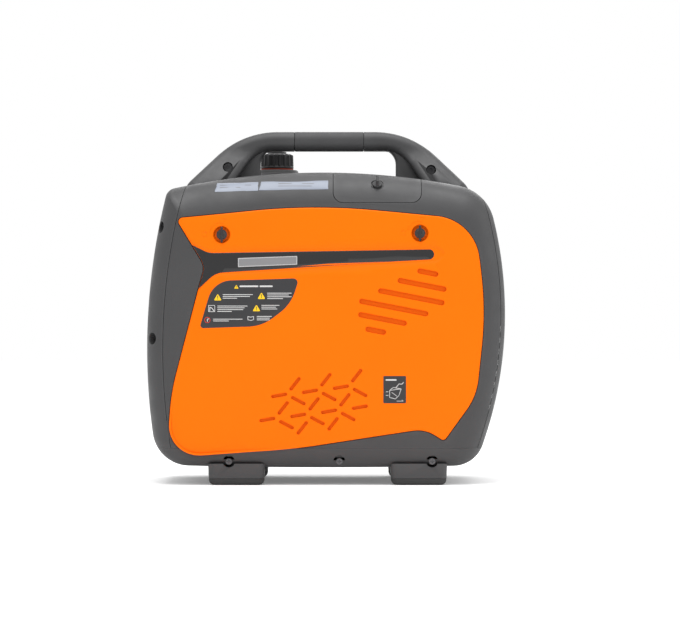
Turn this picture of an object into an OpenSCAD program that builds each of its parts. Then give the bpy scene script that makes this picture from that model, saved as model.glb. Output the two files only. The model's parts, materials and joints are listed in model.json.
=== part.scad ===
/* [Case] */
// Overall length of the case, end to end
case_length = 504; // [504:1:610]
// Depth of the case, maintenance side to starter side
case_depth = 300; // [280:1:360]
// Height of the crown of the case above the ground
case_top = 439; // [439:1:530]
// Height of the underside of the case above the ground
case_bottom = 24; // [20:1:30]
// Thickness of the moulded walls
wall = 3; // [2.4:0.1:3.6]
// Radius of the long shoulders along the top
shoulder_radius = 52; // [44:1:60]
// Radius of the upright corners
corner_radius = 38; // [32:1:44]
// Depth of the control end cover, seen from the side
control_cover_depth = 24; // [20:1:28]
// Depth of the exhaust end cover, seen from the side
exhaust_cover_depth = 7; // [6:0.5:9]
// Height at which the base tray meets the shells
tray_top = 41; // [38:1:44]

/* [Handle] */
// Height of the top of the handle above the crown
handle_rise = 62; // [56:0.5:72]
// Thickness of the grip bar, top to bottom
grip_thickness = 27.5; // [24:0.5:32]
// Width of the grip bar, front to back
grip_width = 39; // [34:0.5:44]
// Length of the soft grip
grip_length = 100; // [80:1:120]
// Thickness of the soft grip sleeve
grip_skin = 2.5; // [2:0.1:3.5]
// Width of the handle legs where they meet the case
leg_spread = 104; // [90:1:116]
// Radius of the two handle cross bolts
handle_bolt_radius = 4; // [3:0.1:4.8]

/* [Feet] */
// Length of a foot
foot_length = 79; // [66:1:95]
// Depth of a foot, front to back
foot_depth = 46; // [38:1:54]
// Height of the rubber sole of a foot
sole_height = 9; // [7.5:0.5:11]

/* [Maintenance cover] */
// How far the maintenance cover stands proud of the case
cover_proud = 1.5; // [1:0.1:2]
// Thickness of the cover
cover_wall = 2.7; // [2.2:0.1:3.2]
// Width of the ledge that the cover rests on
cover_ledge = 12; // [10:0.5:14]
// Running gap around the cover
cover_gap = 0.6; // [0.4:0.1:1]
// Radius of the shaft of a cover knob
cover_knob_shaft = 5; // [4:0.1:6]
// Width of a slanted intake slot
intake_slot_width = 7.4; // [6:0.1:9]
// Width of a small cooling slot
small_slot_width = 4.8; // [4:0.1:5.8]
// Depth of the blind slots
slot_depth = 3.2; // [2.4:0.1:4]

/* [Fuel system] */
// Outer radius of the filler neck
neck_radius = 18.5; // [15.4:0.1:22.2]
// Radius of the fuel cap
cap_radius = 24; // [24:0.1:28]
// Height of the ribbed part of the fuel cap
cap_height = 21.5; // [18:0.5:24]
// Radial clearance of the cap on the neck
cap_clearance = 0.7; // [0.4:0.1:1]
// Height of the tank
tank_height = 80; // [70:1:96]

/* [Engine] */
// Height of the crankshaft axis above the ground
crank_height = 130; // [126:1:134]
// Radius of the crankshaft journals
journal_radius = 12.5; // [10.5:0.1:15]
// Bore of the cylinder, as a radius
bore_radius = 26; // [24:0.1:31.2]
// Radial running clearance of the shafts in their bores
running_fit = 0.06; // [0.03:0.01:0.1]
// Outer radius of the generator rotor
rotor_radius = 62; // [58:1:68]
// Length of starter rope that can be drawn out
rope_travel = 180; // [150:1:200]
// Radius of the starter rope
rope_radius = 2; // [1.7:0.1:2.4]

/* [Control panel] */
// Height of the control panel
panel_height = 214; // [190:1:230]
// Width of the control panel
panel_width = 188; // [170:1:200]
// Radius of an outlet lid
lid_radius = 27; // [23:0.5:30]
// Radius of the engine switch knob
switch_radius = 24; // [20:0.5:28]
// Travel of the breaker button
button_travel = 3; // [2:0.5:3.5]

/* [Hidden] */

$fn = 48;
// Steps along a long side of an outline, and around one of its corners
side_steps = 8;
corner_steps = 6;
// Gap between faces of pieces that move past each other
part_gap = 0.3;

// Colours of the materials
dark_plastic = "#555555";
orange_plastic = "#ff8214";
black_plastic = "#282828";
rubber_black = "#303030";
metal_grey = "#a8a8a8";
black_steel = "#383838";
gasket_red = "#a5432f";
button_red = "#b03020";
lens_green = "#60c060";
rope_white = "#d8d8d0";
copper = "#b87333";
ceramic_white = "#e8e8e0";

// Ends and sides of the case
left_end = -case_length / 2;
right_end = case_length / 2;
front_face = -case_depth / 2;
back_face = case_depth / 2;

// Bulge radii of the case faces, and the heights and places of their high points
left_bulge = 890;
left_bulge_height = 190;
right_bulge = 560;
right_bulge_height = 240;
crown_radius = 1000;
crown_offset = -5;
belly_radius = 8000;
face_crown = 4000;
end_crown = 6000;
section_crown = 2500;
top_crown = 1500;

// Each side of an outline is [centre, radius], counterclockwise from the right-hand one
side_sides = [
    [[right_end - right_bulge, right_bulge_height], right_bulge],
    [[crown_offset, case_top - crown_radius], crown_radius],
    [[left_end + left_bulge, left_bulge_height], left_bulge],
    [[0, case_bottom + belly_radius], belly_radius]];
side_radii = [62, 16, 52, 44];
section_middle = (case_top + case_bottom) / 2;
section_sides = [
    [[back_face - section_crown, section_middle], section_crown],
    [[0, case_top - top_crown], top_crown],
    [[front_face + section_crown, section_middle], section_crown],
    [[0, case_bottom + belly_radius], belly_radius]];
section_radii = [shoulder_radius, shoulder_radius, 30, 30];
plan_sides = [
    [[right_end - end_crown, 0], end_crown],
    [[0, back_face - face_crown], face_crown],
    [[left_end + end_crown, 0], end_crown],
    [[0, front_face + face_crown], face_crown]];
plan_radii = [corner_radius, corner_radius, corner_radius, corner_radius];

function unit(v) = v / norm(v);
function left_of(v) = [-v[1], v[0]];
function angle_of(v) = atan2(v[1], v[0]);
function swept(from, to) = to < from ? to + 360 : to;
function arc(centre, radius, from, to, steps) = [for (i = [0:steps - 1])
    let (a = from + (to - from) * i / steps) centre + radius * [cos(a), sin(a)]];

// Centre of a corner arc of radius r that touches sides a and b from inside
function corner_centre(a, b, r) =
    let (d = b[0] - a[0], l = norm(d), p = a[1] - r, q = b[1] - r)
    let (s = (p * p - q * q + l * l) / (2 * l), h = sqrt(p * p - s * s))
    a[0] + (s * d + h * left_of(d)) / l;

// Outline of bulged sides with rounded corners, moved inwards by inset
function bulged_outline(sides, radii, inset) =
    let (n = len(sides), s = [for (k = sides) [k[0], k[1] - inset]])
    let (r = [for (k = radii) max(k - inset, 1)])
    let (f = [for (i = [0:n - 1]) corner_centre(s[i], s[(i + 1) % n], r[i])])
    [for (i = [0:n - 1])
        let (before = angle_of(f[(i + n - 1) % n] - s[i][0]))
        let (after = swept(before, angle_of(f[i] - s[i][0])))
        let (last = swept(after, angle_of(f[i] - s[(i + 1) % n][0])))
        each concat(arc(s[i][0], s[i][1], before, after, side_steps),
            arc(f[i], r[i], after, last, corner_steps))];

// A corner of a polygon, moved inwards by inset and rounded, as a list of points
function inset_corner(a, b, c, inset) =
    let (n = left_of(unit(b - a)), m = left_of(unit(c - b))) b + inset * (n + m) / (1 + n * m);
function round_corner(a, b, c, r, steps) =
    let (u = unit(b - a), v = unit(c - b), turn = atan2(cross(u, v), u * v))
    let (side = sign(turn), back = r * tan(abs(turn) / 2))
    let (centre = b - u * back + side * r * left_of(u), from = angle_of(-side * left_of(u)))
    [for (i = [0:steps]) let (a = from + turn * i / steps) centre + r * [cos(a), sin(a)]];

// Outline from counterclockwise corners [x, y, radius], moved inwards by inset
function soft_outline(corners, inset = 0, steps = corner_steps) =
    let (n = len(corners), p = [for (c = corners) [c[0], c[1]]])
    let (q = [for (i = [0:n - 1]) inset_corner(p[(i + n - 1) % n], p[i], p[(i + 1) % n], inset)])
    [for (i = [0:n - 1])
        let (a = q[(i + n - 1) % n], b = q[i], c = q[(i + 1) % n], bend = sign(cross(b - a, c - b)))
        each round_corner(a, b, c, max(corners[i][2] - bend * inset, 0.3), steps)];
function box_corners(w, h, r) = [[-w / 2, -h / 2, r], [w / 2, -h / 2, r], [w / 2, h / 2, r],
    [-w / 2, h / 2, r]];
function shifted(corners, x, y) = [for (c = corners) [c[0] + x, c[1] + y, c[2]]];

// Prisms along Y and X of outlines drawn in XZ and YZ
module prism_y(points, y0, y1) {
    translate([0, y1, 0]) rotate([90, 0, 0]) linear_extrude(y1 - y0) polygon(points);
}
module prism_x(points, x0, x1) {
    translate([x0, 0, 0]) rotate([90, 0, 90]) linear_extrude(x1 - x0) polygon(points);
}
module rod_y(x, z, r, y0, y1) {
    translate([x, y1, z]) rotate([90, 0, 0]) cylinder(r = r, h = y1 - y0);
}
module rod_x(y, z, r, x0, x1) {
    translate([x0, y, z]) rotate([0, 90, 0]) cylinder(r = r, h = x1 - x0);
}
module block(x0, x1, y0, y1, z0, z1) {
    translate([x0, y0, z0]) cube([x1 - x0, y1 - y0, z1 - z0]);
}
module slot_y(length, width, y0, y1) {
    prism_y(soft_outline(box_corners(length, width, width / 2 - 0.05)), y0, y1);
}

// The case as a solid, moved inwards by inset
module case_form(inset) {
    intersection() {
        prism_y(bulged_outline(side_sides, side_radii, inset), front_face - 9, back_face + 9);
        prism_x(bulged_outline(section_sides, section_radii, inset), left_end - 9, right_end + 9);
        linear_extrude(case_top + 60) polygon(bulged_outline(plan_sides, plan_radii, inset));
    }
}
module case_skin() {
    difference() {
        case_form(0);
        case_form(wall);
    }
}
// Everything between the two end grooves, above the tray
module between_grooves() {
    intersection() {
        rod_y(side_sides[2][0][0], side_sides[2][0][1], left_bulge - control_cover_depth,
            front_face - 9, back_face + 9, $fn = 360);
        rod_y(side_sides[0][0][0], side_sides[0][0][1], right_bulge - exhaust_cover_depth,
            front_face - 9, back_face + 9, $fn = 360);
    }
}
module above_tray() {
    block(left_end - 9, right_end + 9, front_face - 9, back_face + 9, tray_top, case_top + 9);
}

// Maintenance cover outline: margins from the ends, the crown and the underside
cover_corners = [
    [left_end + 42, case_top - 66, 6],
    [left_end + 82.5, case_top - 133, 22],
    [left_end + 73, case_top - 167, 60],
    [left_end + 36, case_bottom + 106, 300],
    [left_end + 29, case_bottom + 14.2, 42],
    [left_end + 207, case_bottom + 27, 900],
    [right_end - 114, case_bottom + 55, 45],
    [right_end - 87, case_bottom + 38, 5],
    [right_end - 41.5, case_bottom + 101, 90],
    [right_end - 29, case_top - 194, 450],
    [right_end - 44, case_top - 68, 66],
    [crown_offset - 10, case_top - 47, 900]];
cover_floor = front_face + face_sag(left_end + 30, case_bottom + 14) + 1.5;
cover_back = cover_floor - part_gap;
knob_places = [[left_end + 106.5, case_top - 89], [right_end - 120.7, case_top - 87]];
knob_recess_radius = 12;
knob_recess_depth = 3;
// Depth of the knob's recess floor behind the front face
knob_floor = front_face + knob_recess_depth;

module cover_prism(inset, y0, y1) {
    prism_y(soft_outline(cover_corners, inset), y0, y1);
}

// Access panel for the spark plug, on the front shoulder
plug_panel_x = right_end - 180;
plug_panel_length = 123;
plug_panel_low = case_top - 44;
shoulder_tilt = 50;
// Centre of the shoulder arc, and the seat of the panel's knob on it
shoulder_y = front_face + shoulder_radius;
shoulder_z = case_top - shoulder_radius - 6;
plug_knob_shaft = 3;
plug_knob_seat = shoulder_radius - 3;

module plug_panel_prism(grow) {
    intersection() {
        prism_y(soft_outline(shifted(box_corners(plug_panel_length + 2 * grow, 80 + 2 * grow, 14),
            plug_panel_x, plug_panel_low + 40)), front_face - 9, back_face);
        linear_extrude(case_top + 60) polygon(soft_outline(shifted(
            box_corners(plug_panel_length + 2 * grow, 156 + 2 * grow, 14),
            plug_panel_x, front_face)));
    }
}
// Places its children on the shoulder, with Z along the outward normal
module on_shoulder() {
    translate([plug_panel_x, shoulder_y, shoulder_z]) rotate([90 - shoulder_tilt, 0, 0]) children();
}

// Screws: [x, z] of the three along the lower edge, and the heights of the end screws
tray_screws = [[left_end + 116, case_bottom + 9.5], [18.6, case_bottom + 9.5],
    [right_end - 103.5, case_bottom + 9.5]];
tray_screw_seat = 14;
screw_head_radius = 4.6;
screw_shank_radius = 2.5;
screw_recess_radius = 8.4;
end_screw_heights = [case_bottom + 181, case_top - 78];
end_screw_inset = 52;
end_screw_depth = 26;

// Places its children at each tray screw, with Z pointing out of the case
module at_tray_screws() {
    for (p = tray_screws) {
        translate([p[0], front_face + tray_screw_seat, p[1]]) rotate([90, 0, 0]) children();
        translate([p[0], back_face - tray_screw_seat, p[1]]) rotate([-90, 0, 0]) children();
    }
}
// The exhaust end screws face along +X, in the four corners of the end cover
module at_end_screws() {
    for (y = [front_face + end_screw_inset, back_face - end_screw_inset]) {
        for (z = [case_bottom + 70, case_top - 62]) {
            translate([right_end - end_screw_depth, y, z]) rotate([0, 90, 0]) children();
        }
    }
}
// The control end screws lie in the upright corners and face outwards at an angle
corner_screw_turn = 30;
corner_screw_recess = 12;
// How far the crown, the front face and the bulged end fall back from their high points, and how
// far a corner reaches from its axis
function crown_drop(x) = crown_radius - sqrt(pow(crown_radius, 2) - pow(x - crown_offset, 2));
function face_sag(x, z) = max(face_crown - sqrt(pow(face_crown, 2) - pow(x, 2)),
    section_crown - sqrt(pow(section_crown, 2) - pow(z - section_middle, 2)));
function end_inset(z) = left_bulge - sqrt(pow(left_bulge, 2) - pow(z - left_bulge_height, 2));
function corner_reach(z) = min(corner_radius, (corner_radius - end_inset(z)) / cos(corner_screw_turn));
module at_corner_screws() {
    for (side = [-1, 1]) {
        for (z = end_screw_heights) {
            translate([left_end + corner_radius, side * (back_face - corner_radius), z])
                rotate([0, 0, side > 0 ? 180 - corner_screw_turn : 180 + corner_screw_turn])
                rotate([0, 90, 0]) translate([0, 0, corner_reach(z) - corner_screw_recess]) children();
        }
    }
}
module screw() {
    cylinder(r = screw_head_radius, h = 3);
    translate([0, 0, -12]) cylinder(r = screw_shank_radius, h = 12.5);
}
module screw_boss(depth) {
    translate([0, 0, -depth]) cylinder(r = screw_recess_radius + 2, h = depth + 30);
}
module screw_bore() {
    cylinder(r = screw_recess_radius, h = 40);
    translate([0, 0, -13]) cylinder(r = screw_shank_radius + 0.05, h = 14);
}

// Handle
handle_top = case_top + handle_rise;
handle_under = handle_top - grip_thickness;
leg_left = left_end + 52;
leg_right = right_end - 50;
opening_left = left_end + 157;
opening_right = right_end - 152;
grip_centre = crown_offset + 9;
handle_bolt_places = [[leg_left + 59, case_top + 10.5], [leg_right - 52, case_top + 6.5]];
handle_bolt_recess = 7;
web_half = 13;
handle_corners = [
    [leg_left - 14, case_top - 30, 1],
    [leg_right + 14, case_top - 30, 1],
    [leg_right - 2.5, case_top - 15, 1],
    [leg_right - 80, handle_top, 125],
    [leg_left + 78, handle_top, 125],
    [leg_left + 2.5, case_top - 13, 1]];
wide_opening = [
    [opening_left - 42, case_top - 20, 1],
    [opening_right + 42, case_top - 20, 1],
    [opening_right + 7, handle_under, 45],
    [opening_left - 6, handle_under, 45]];
narrow_opening = [
    [opening_left, case_top - 40, 1],
    [opening_right, case_top - 40, 1],
    [opening_right, handle_under, 22],
    [opening_left, handle_under, 22]];
handle_section = [
    [-leg_spread / 2 - 4, case_top - 40, 1],
    [leg_spread / 2 + 4, case_top - 40, 1],
    [leg_spread / 2, case_top - 14, 20],
    [grip_width / 2 + 1, handle_under - 6, 20],
    [grip_width / 2, handle_top, 12],
    [-grip_width / 2, handle_top, 12],
    [-grip_width / 2 - 1, handle_under - 6, 20],
    [-leg_spread / 2, case_top - 14, 20]];

module handle_form() {
    difference() {
        intersection() {
            union() {
                difference() {
                    prism_y(soft_outline(handle_corners), -leg_spread, leg_spread);
                    prism_y(soft_outline(wide_opening), -leg_spread - 1, leg_spread + 1);
                }
                difference() {
                    prism_y(soft_outline(handle_corners), -web_half, web_half);
                    prism_y(soft_outline(narrow_opening), -web_half - 1, web_half + 1);
                }
            }
            prism_x(soft_outline(handle_section), left_end, right_end);
        }
        case_form(0);
    }
}
module grip_section(inset) {
    prism_x(soft_outline(shifted(box_corners(grip_width - 2 * inset,
        grip_thickness - 2 * inset, 11 - inset), 0, handle_top - grip_thickness / 2)),
        grip_centre - grip_length / 2, grip_centre + grip_length / 2);
}
module handle_half(side) {
    difference() {
        intersection() {
            handle_form();
            translate([left_end, side > 0 ? 0 : -case_depth, case_top - 60])
                cube([case_length, case_depth, handle_rise + 100]);
        }
        difference() {
            block(grip_centre - grip_length / 2, grip_centre + grip_length / 2,
                -grip_width, grip_width, handle_under - 3, handle_top + 3);
            grip_section(grip_skin);
        }
        for (p = handle_bolt_places) {
            rod_y(p[0], p[1], handle_bolt_radius + 0.05, -case_depth, case_depth);
            if (side < 0) {
                rod_y(p[0], p[1], handle_bolt_recess, -case_depth, -bolt_seat);
            }
            if (side > 0) {
                rod_y(p[0], p[1], handle_bolt_recess, bolt_seat, case_depth);
            }
        }
    }
}
bolt_seat = 17;

// Fuel filler: the cap stands behind the handle
cap_x = opening_left + 23;
cap_y = 60;
collar_top = case_top + 10;
gasket_thickness = 2;
cap_low = collar_top + 0.2 + gasket_thickness;
neck_top = cap_low + cap_height - 8;
neck_bore = neck_radius - 3;
cap_bore = neck_radius + cap_clearance;
cap_top = cap_low + cap_height;
cap_ribs = 18;
vent_radius = 13.5;
vent_height = 2.8;

// Tank under the crown
tank_top = case_top - crown_drop(left_end + 50) - wall - 11.4;
tank_low = tank_top - tank_height;
tank_left = left_end + end_inset(tank_top) + wall + 20.6;
tank_right = right_end - 130;
tank_front = -42;
tank_back = 112;
tank_wall = 2.5;

// Engine: the crankshaft lies along Y
engine_x = right_end - 157;
cylinder_y = -8;
crankcase_half = 50;
crankcase_front = -60;
crankcase_back = 45;
crankcase_low = crank_height - 58;
crankcase_high = crank_height + 55;
crank_room = 42;
crank_throw = 20;
crank_pin = 9;
web_radius = 38;
web_gap = 12;
web_thickness = 8;
barrel_top = crankcase_high + 57;
fin_pitch = 8;
fin_thickness = 2.5;
piston_pin = 6;
piston_pin_z = crank_height + crank_throw + 62;
head_half = 48;
head_top = barrel_top + 40;
plug_tilt = 35;
plug_base = [engine_x - 15, -30, barrel_top + 8];
plug_thread = 5;
rotor_front = 50;
rotor_back = 94;
rotor_wall = 8;
fan_back = 112;
shaft_back = 108;
stator_back = 84;

// Starter
rope_x = left_end + 162;
rope_z = tank_low - 27;
pocket_length = 120;
pocket_height = 48;
pocket_floor = back_face - 28;
pulley_front = 118;
pulley_back = 126;
housing_back = 135;
grip_half = 46;
grip_radius = 10.5;

// Control end: the panel stands behind an opening in the end cover
panel_face = left_end + 19;
panel_thickness = 3;
panel_z = case_bottom + 213;
panel_corners = shifted(box_corners(panel_width, panel_height, 14), 0, panel_z);
panel_rim = 3;
outlet_places = [[-45, panel_z - 62], [45, panel_z - 62]];
outlet_radius = 23;
outlet_height = 4;
lid_thickness = 5;
lid_pin_radius = 1.8;
switch_place = [52, panel_z + 62];
switch_height = 15;
eco_place = [-52, panel_z + 38];
button_place = [-12, panel_z + 2];
button_radius = 6;
button_height = button_travel + 5;
dc_place = [-56, panel_z - 2];
lens_places = [[-66, panel_z + 80], [-46, panel_z + 80], [-26, panel_z + 80]];
ground_place = [52, panel_z - 8];

// Exhaust end
outlet_pipe_y = -44;
outlet_pipe_z = case_bottom + 236;
outlet_pipe_radius = 12;
louvre_count = 9;
louvre_pitch = 16;
louvre_low = case_bottom + 66;
louvre_length = 150;
louvre_width = 7;

// The side case around the maintenance cover
module front_shell() {
    color(dark_plastic) difference() {
        union() {
            intersection() {
                case_skin();
                between_grooves();
                block(left_end, right_end, front_face - 9, 0, tray_top, case_top + 9);
            }
            intersection() {
                case_form(0.5);
                between_grooves();
                above_tray();
                cover_prism(-4, front_face - 9, cover_floor + 3);
            }
            intersection() {
                difference() {
                    case_form(wall - 0.2);
                    case_form(wall + 2.4);
                }
                plug_panel_prism(5);
                block(left_end, right_end, front_face - 9, 0, tray_top, case_top + 9);
            }
        }
        cover_prism(-cover_gap, front_face - 9, cover_floor);
        cover_prism(cover_ledge, front_face - 9, 0);
        difference() {
            plug_panel_prism(cover_gap);
            case_form(wall);
        }
        plug_panel_prism(-7);
    }
}

// The case on the starter side
module back_shell() {
    color(dark_plastic) difference() {
        union() {
            intersection() {
                case_skin();
                between_grooves();
                block(left_end, right_end, 0, back_face + 9, tray_top, case_top + 9);
            }
            intersection() {
                case_form(0.5);
                prism_y(soft_outline(pocket_corners(-wall)), pocket_floor - wall, back_face + 9);
            }
        }
        prism_y(soft_outline(pocket_corners(0)), pocket_floor, back_face + 9);
        rod_y(rope_x, rope_z, guide_radius, pocket_floor - 9, pocket_floor + 9);
        translate([cap_x, cap_y, case_top - 20]) cylinder(r = neck_radius + 0.3, h = 40);
        back_vents();
    }
}
guide_radius = 9;
function pocket_corners(inset) = shifted(box_corners(pocket_length - 2 * inset,
    pocket_height - 2 * inset, 16), rope_x, rope_z);
// Cooling slots around the starter, in rings
vent_rings = 3;
vent_rib = 8;
module back_vents() {
    for (ring = [0:vent_rings - 1]) {
        radius = 34 + 16 * ring;
        count = 8 + 6 * ring;
        vent_length = 2 * PI * radius / count - vent_rib;
        for (i = [0:count - 1]) {
            translate([engine_x, 0, crank_height]) rotate([0, 360 * i / count + 12 * ring, 0])
                translate([0, 0, radius])
                slot_y(vent_length, 5, back_face - 16, back_face + 9);
        }
    }
}

module control_end_cover() {
    color(dark_plastic) difference() {
        union() {
            intersection() {
                case_skin();
                above_tray();
                block(left_end - 9, 0, front_face - 9, back_face + 9, 0, case_top + 9);
            }
            intersection() {
                case_form(0.5);
                prism_x(soft_outline(panel_corners, -panel_rim), left_end - 9, panel_face);
            }
            intersection() {
                case_form(0.5);
                above_tray();
                at_corner_screws() screw_boss(8);
            }
        }
        between_grooves();
        cover_prism(-cover_gap, front_face - 9, cover_floor);
        prism_x(soft_outline(panel_corners), left_end - 9, panel_face + 9);
        prism_x(soft_outline(panel_corners, -panel_rim), panel_face, panel_face + 9);
        at_corner_screws() screw_bore();
    }
}

module exhaust_end_cover() {
    color(dark_plastic) difference() {
        union() {
            intersection() {
                case_skin();
                above_tray();
                block(0, right_end + 9, front_face - 9, back_face + 9, 0, case_top + 9);
            }
            intersection() {
                case_form(0.5);
                at_end_screws() screw_boss(6);
            }
        }
        between_grooves();
        for (i = [0:louvre_count - 1]) {
            translate([0, 0, louvre_low + i * louvre_pitch])
                prism_x(soft_outline(box_corners(louvre_length, louvre_width, louvre_width / 2 - 0.05)),
                    right_end - 20, right_end + 9);
        }
        rod_x(outlet_pipe_y, outlet_pipe_z, outlet_pipe_radius + 6, right_end - 20, right_end + 9);
        at_end_screws() screw_bore();
    }
}

mount_places = [for (x = [-38, 38], y = [-42, 30]) [engine_x + x, y]];
mount_radius = 13;
mount_height = 20;
mount_low = crankcase_low - mount_height;
module base_tray() {
    color(dark_plastic) difference() {
        union() {
            intersection() {
                case_skin();
                block(left_end, right_end, front_face - 9, back_face + 9, 0, tray_top);
            }
            intersection() {
                case_form(0.5);
                block(left_end, right_end, front_face - 9, back_face + 9, 0, tray_top);
                at_tray_screws() screw_boss(6);
            }
            intersection() {
                case_form(0.5);
                for (p = mount_places) {
                    translate([p[0], p[1], 0]) cylinder(r = mount_radius + 2, h = mount_low);
                }
            }
        }
        at_tray_screws() screw_bore();
    }
}

// Four feet under the tray, each with a rubber sole
foot_places = [for (x = [left_end + 126.5, right_end - 122], side = [-1, 1])
    [x, side * (back_face - 14 - foot_depth / 2)]];
module foot_block(z0, z1, grow) {
    for (p = foot_places) {
        translate([0, 0, z0]) linear_extrude(z1 - z0) polygon(soft_outline(shifted(
            box_corners(foot_length, foot_depth, 8), p[0], p[1]), -grow));
    }
}
module feet() {
    color(dark_plastic) difference() {
        foot_block(sole_height, case_bottom + 6, 0);
        case_form(0);
        at_tray_screws() cylinder(r = screw_recess_radius, h = 40);
    }
}
module foot_soles() {
    color(rubber_black) union() {
        foot_block(5, sole_height, -0.5);
        foot_block(2.5, 5, -2);
        foot_block(0, 2.5, -5);
    }
}

module handle_front_half() {
    color(dark_plastic) handle_half(-1);
}
module handle_rear_half() {
    color(dark_plastic) handle_half(1);
}
module handle_grip() {
    color(rubber_black) difference() {
        grip_section(0);
        translate([-case_length / 2, 0, 0]) grip_core();
    }
}
module grip_core() {
    prism_x(soft_outline(shifted(box_corners(grip_width - 2 * grip_skin,
        grip_thickness - 2 * grip_skin, 11 - grip_skin), 0, handle_top - grip_thickness / 2)),
        0, case_length);
}
module handle_bolts() {
    color(black_steel) for (p = handle_bolt_places) {
        rod_y(p[0], p[1], handle_bolt_radius, -bolt_seat - 0.5, bolt_seat + 4);
        difference() {
            rod_y(p[0], p[1], handle_bolt_recess - 1, -bolt_seat - 5, -bolt_seat);
            translate([p[0], -bolt_seat - 2, p[1]]) rotate([90, 0, 0]) cylinder(r = 3, h = 9, $fn = 6);
        }
        translate([p[0], bolt_seat + 5, p[1]]) rotate([90, 0, 0])
            cylinder(r = handle_bolt_recess - 0.5, h = 5, $fn = 6);
    }
}
module case_screws() {
    color(metal_grey) {
        at_tray_screws() screw();
        at_end_screws() screw();
        at_corner_screws() screw();
    }
}

// Cover: slots, knob recesses and the inset accent band
intake_slots = [[142, 297.1, 22.2], [134, 280, 61.8], [119, 263.4, 86.7], [94.5, 248.4, 90.6],
    [78.8, 232.4, 61.3], [69.3, 216.1, 21.7]];
intake_slope = -11;
small_slot_length = 22.5;
slot_floor = 1.5;
row_step = [43, 5.7];
column_step = [-16.5, -33.6];
slot_origin = [-65.2, 125.9];
// Families of small slots: [offset, angle, rows of columns]
slot_families = [
    [[0, 0], 10, [[0, 2], [0, 3]]],
    [[22.1, 16.1], 52, [[0, 2], [0, 2], [1, 2]]],
    [[26.7, -7.3], -28, [[0, 2], [0, 2]]]];
module cover_slots(grow) {
    for (s = intake_slots) {
        translate([s[0], 0, s[1]]) rotate([0, -intake_slope, 0])
            slot_y(s[2] + intake_slot_width + 2 * grow, intake_slot_width + 2 * grow,
                front_face - 9, 0);
    }
    for (f = slot_families) {
        for (j = [0:len(f[2]) - 1]) {
            for (i = [f[2][j][0]:f[2][j][1]]) {
                place = slot_origin + f[0] + i * row_step + j * column_step;
                translate([place[0], 0, place[1]]) rotate([0, -f[1], 0])
                    slot_y(small_slot_length + 2 * grow, small_slot_width + 2 * grow,
                        front_face - 9, 0);
            }
        }
    }
}
// The band starts at the edge of the cover and lies in a shallow channel
accent_corners = [
    [left_end + 50, case_top - 96, 1],
    [left_end + 66, case_top - 172, 1],
    [left_end + 98, case_top - 142.5, 30],
    [right_end - 106, case_top - 123.5, 4],
    [right_end - 94, case_top - 116, 7],
    [right_end - 106, case_top - 109.5, 5],
    [left_end + 88, case_top - 114.5, 30]];
channel_corners = [
    [left_end + 50, case_top - 90, 1],
    [left_end + 66, case_top - 178, 1],
    [left_end + 99, case_top - 147.5, 30],
    [right_end - 96, case_top - 129, 9],
    [right_end - 78, case_top - 114, 9],
    [right_end - 96, case_top - 104, 9],
    [left_end + 88, case_top - 109, 30]];
channel_depth = 0.8;
accent_depth = 1.8;
accent_top = channel_depth - 0.4;
module accent_prism() {
    intersection() {
        prism_y(soft_outline(accent_corners), front_face - 9, 0);
        cover_prism(cover_gap, front_face - 9, 0);
    }
}
// The part of the cover's skin that lies less than depth below its surface
module cover_skin(depth) {
    difference() {
        case_form(-9);
        case_form(depth - cover_proud);
    }
}
module maintenance_cover() {
    color(orange_plastic) difference() {
        intersection() {
            case_form(-cover_proud);
            cover_prism(0, front_face - 9, cover_back);
        }
        difference() {
            intersection() {
                case_form(cover_wall - cover_proud);
                cover_prism(3, front_face - 9, 0);
                knob_bosses_out();
            }
            intersection() {
                cover_skin(slot_depth + slot_floor);
                cover_slots(2);
            }
        }
        intersection() {
            cover_skin(slot_depth);
            cover_slots(0);
        }
        intersection() {
            cover_skin(channel_depth);
            prism_y(soft_outline(channel_corners), front_face - 9, 0);
        }
        intersection() {
            cover_skin(accent_depth);
            accent_prism();
        }
        for (p = knob_places) {
            rod_y(p[0], p[1], knob_recess_radius, front_face - 9, knob_floor);
            rod_y(p[0], p[1], cover_knob_shaft + running_fit, front_face - 9, 0);
        }
    }
}
// Everything but the bosses that hold the cover knobs
module knob_bosses_out() {
    difference() {
        block(left_end, right_end, front_face - 9, 0, 0, case_top);
        for (p = knob_places) {
            rod_y(p[0], p[1], knob_recess_radius + 2.5, front_face - 9, cover_back);
        }
    }
}
module cover_seal() {
    color(rubber_black) difference() {
        intersection() {
            cover_prism(5, cover_floor - 2, cover_floor);
            case_form(cover_wall - cover_proud + 0.5);
        }
        cover_prism(9, cover_floor - 3, cover_floor + 1);
    }
}
// A thin layer that follows the front of the cover, between two heights above it
module cover_layer(low, high) {
    intersection() {
        difference() {
            case_form(-cover_proud - high);
            case_form(-cover_proud - low);
        }
        block(left_end, right_end, front_face - 9, front_face / 2, 0, case_top);
        children();
    }
}
module accent_strip() {
    color(black_plastic) cover_layer(-accent_depth, -accent_top) accent_prism();
}
badge_corners = [
    [left_end + 129, case_top - 134.5, 2],
    [left_end + 212, case_top - 131.5, 2],
    [left_end + 212, case_top - 118.5, 2],
    [left_end + 129, case_top - 120.5, 2]];
module badge_plate() {
    color(metal_grey) cover_layer(-accent_top, 0.3)
        prism_y(soft_outline(badge_corners), front_face - 9, 0);
}
warning_corners = [
    [left_end + 75.5, case_top - 219.5, 4],
    [left_end + 163, case_top - 216.5, 60],
    [left_end + 203, case_top - 186, 60],
    [left_end + 214.5, case_top - 149.8, 6],
    [left_end + 95, case_top - 153.5, 34]];
module warning_label() {
    color(dark_plastic) cover_layer(0, 0.4)
        prism_y(soft_outline(warning_corners), front_face - 9, 0);
}
oil_label_place = [right_end - 156, case_bottom + 110];
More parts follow.
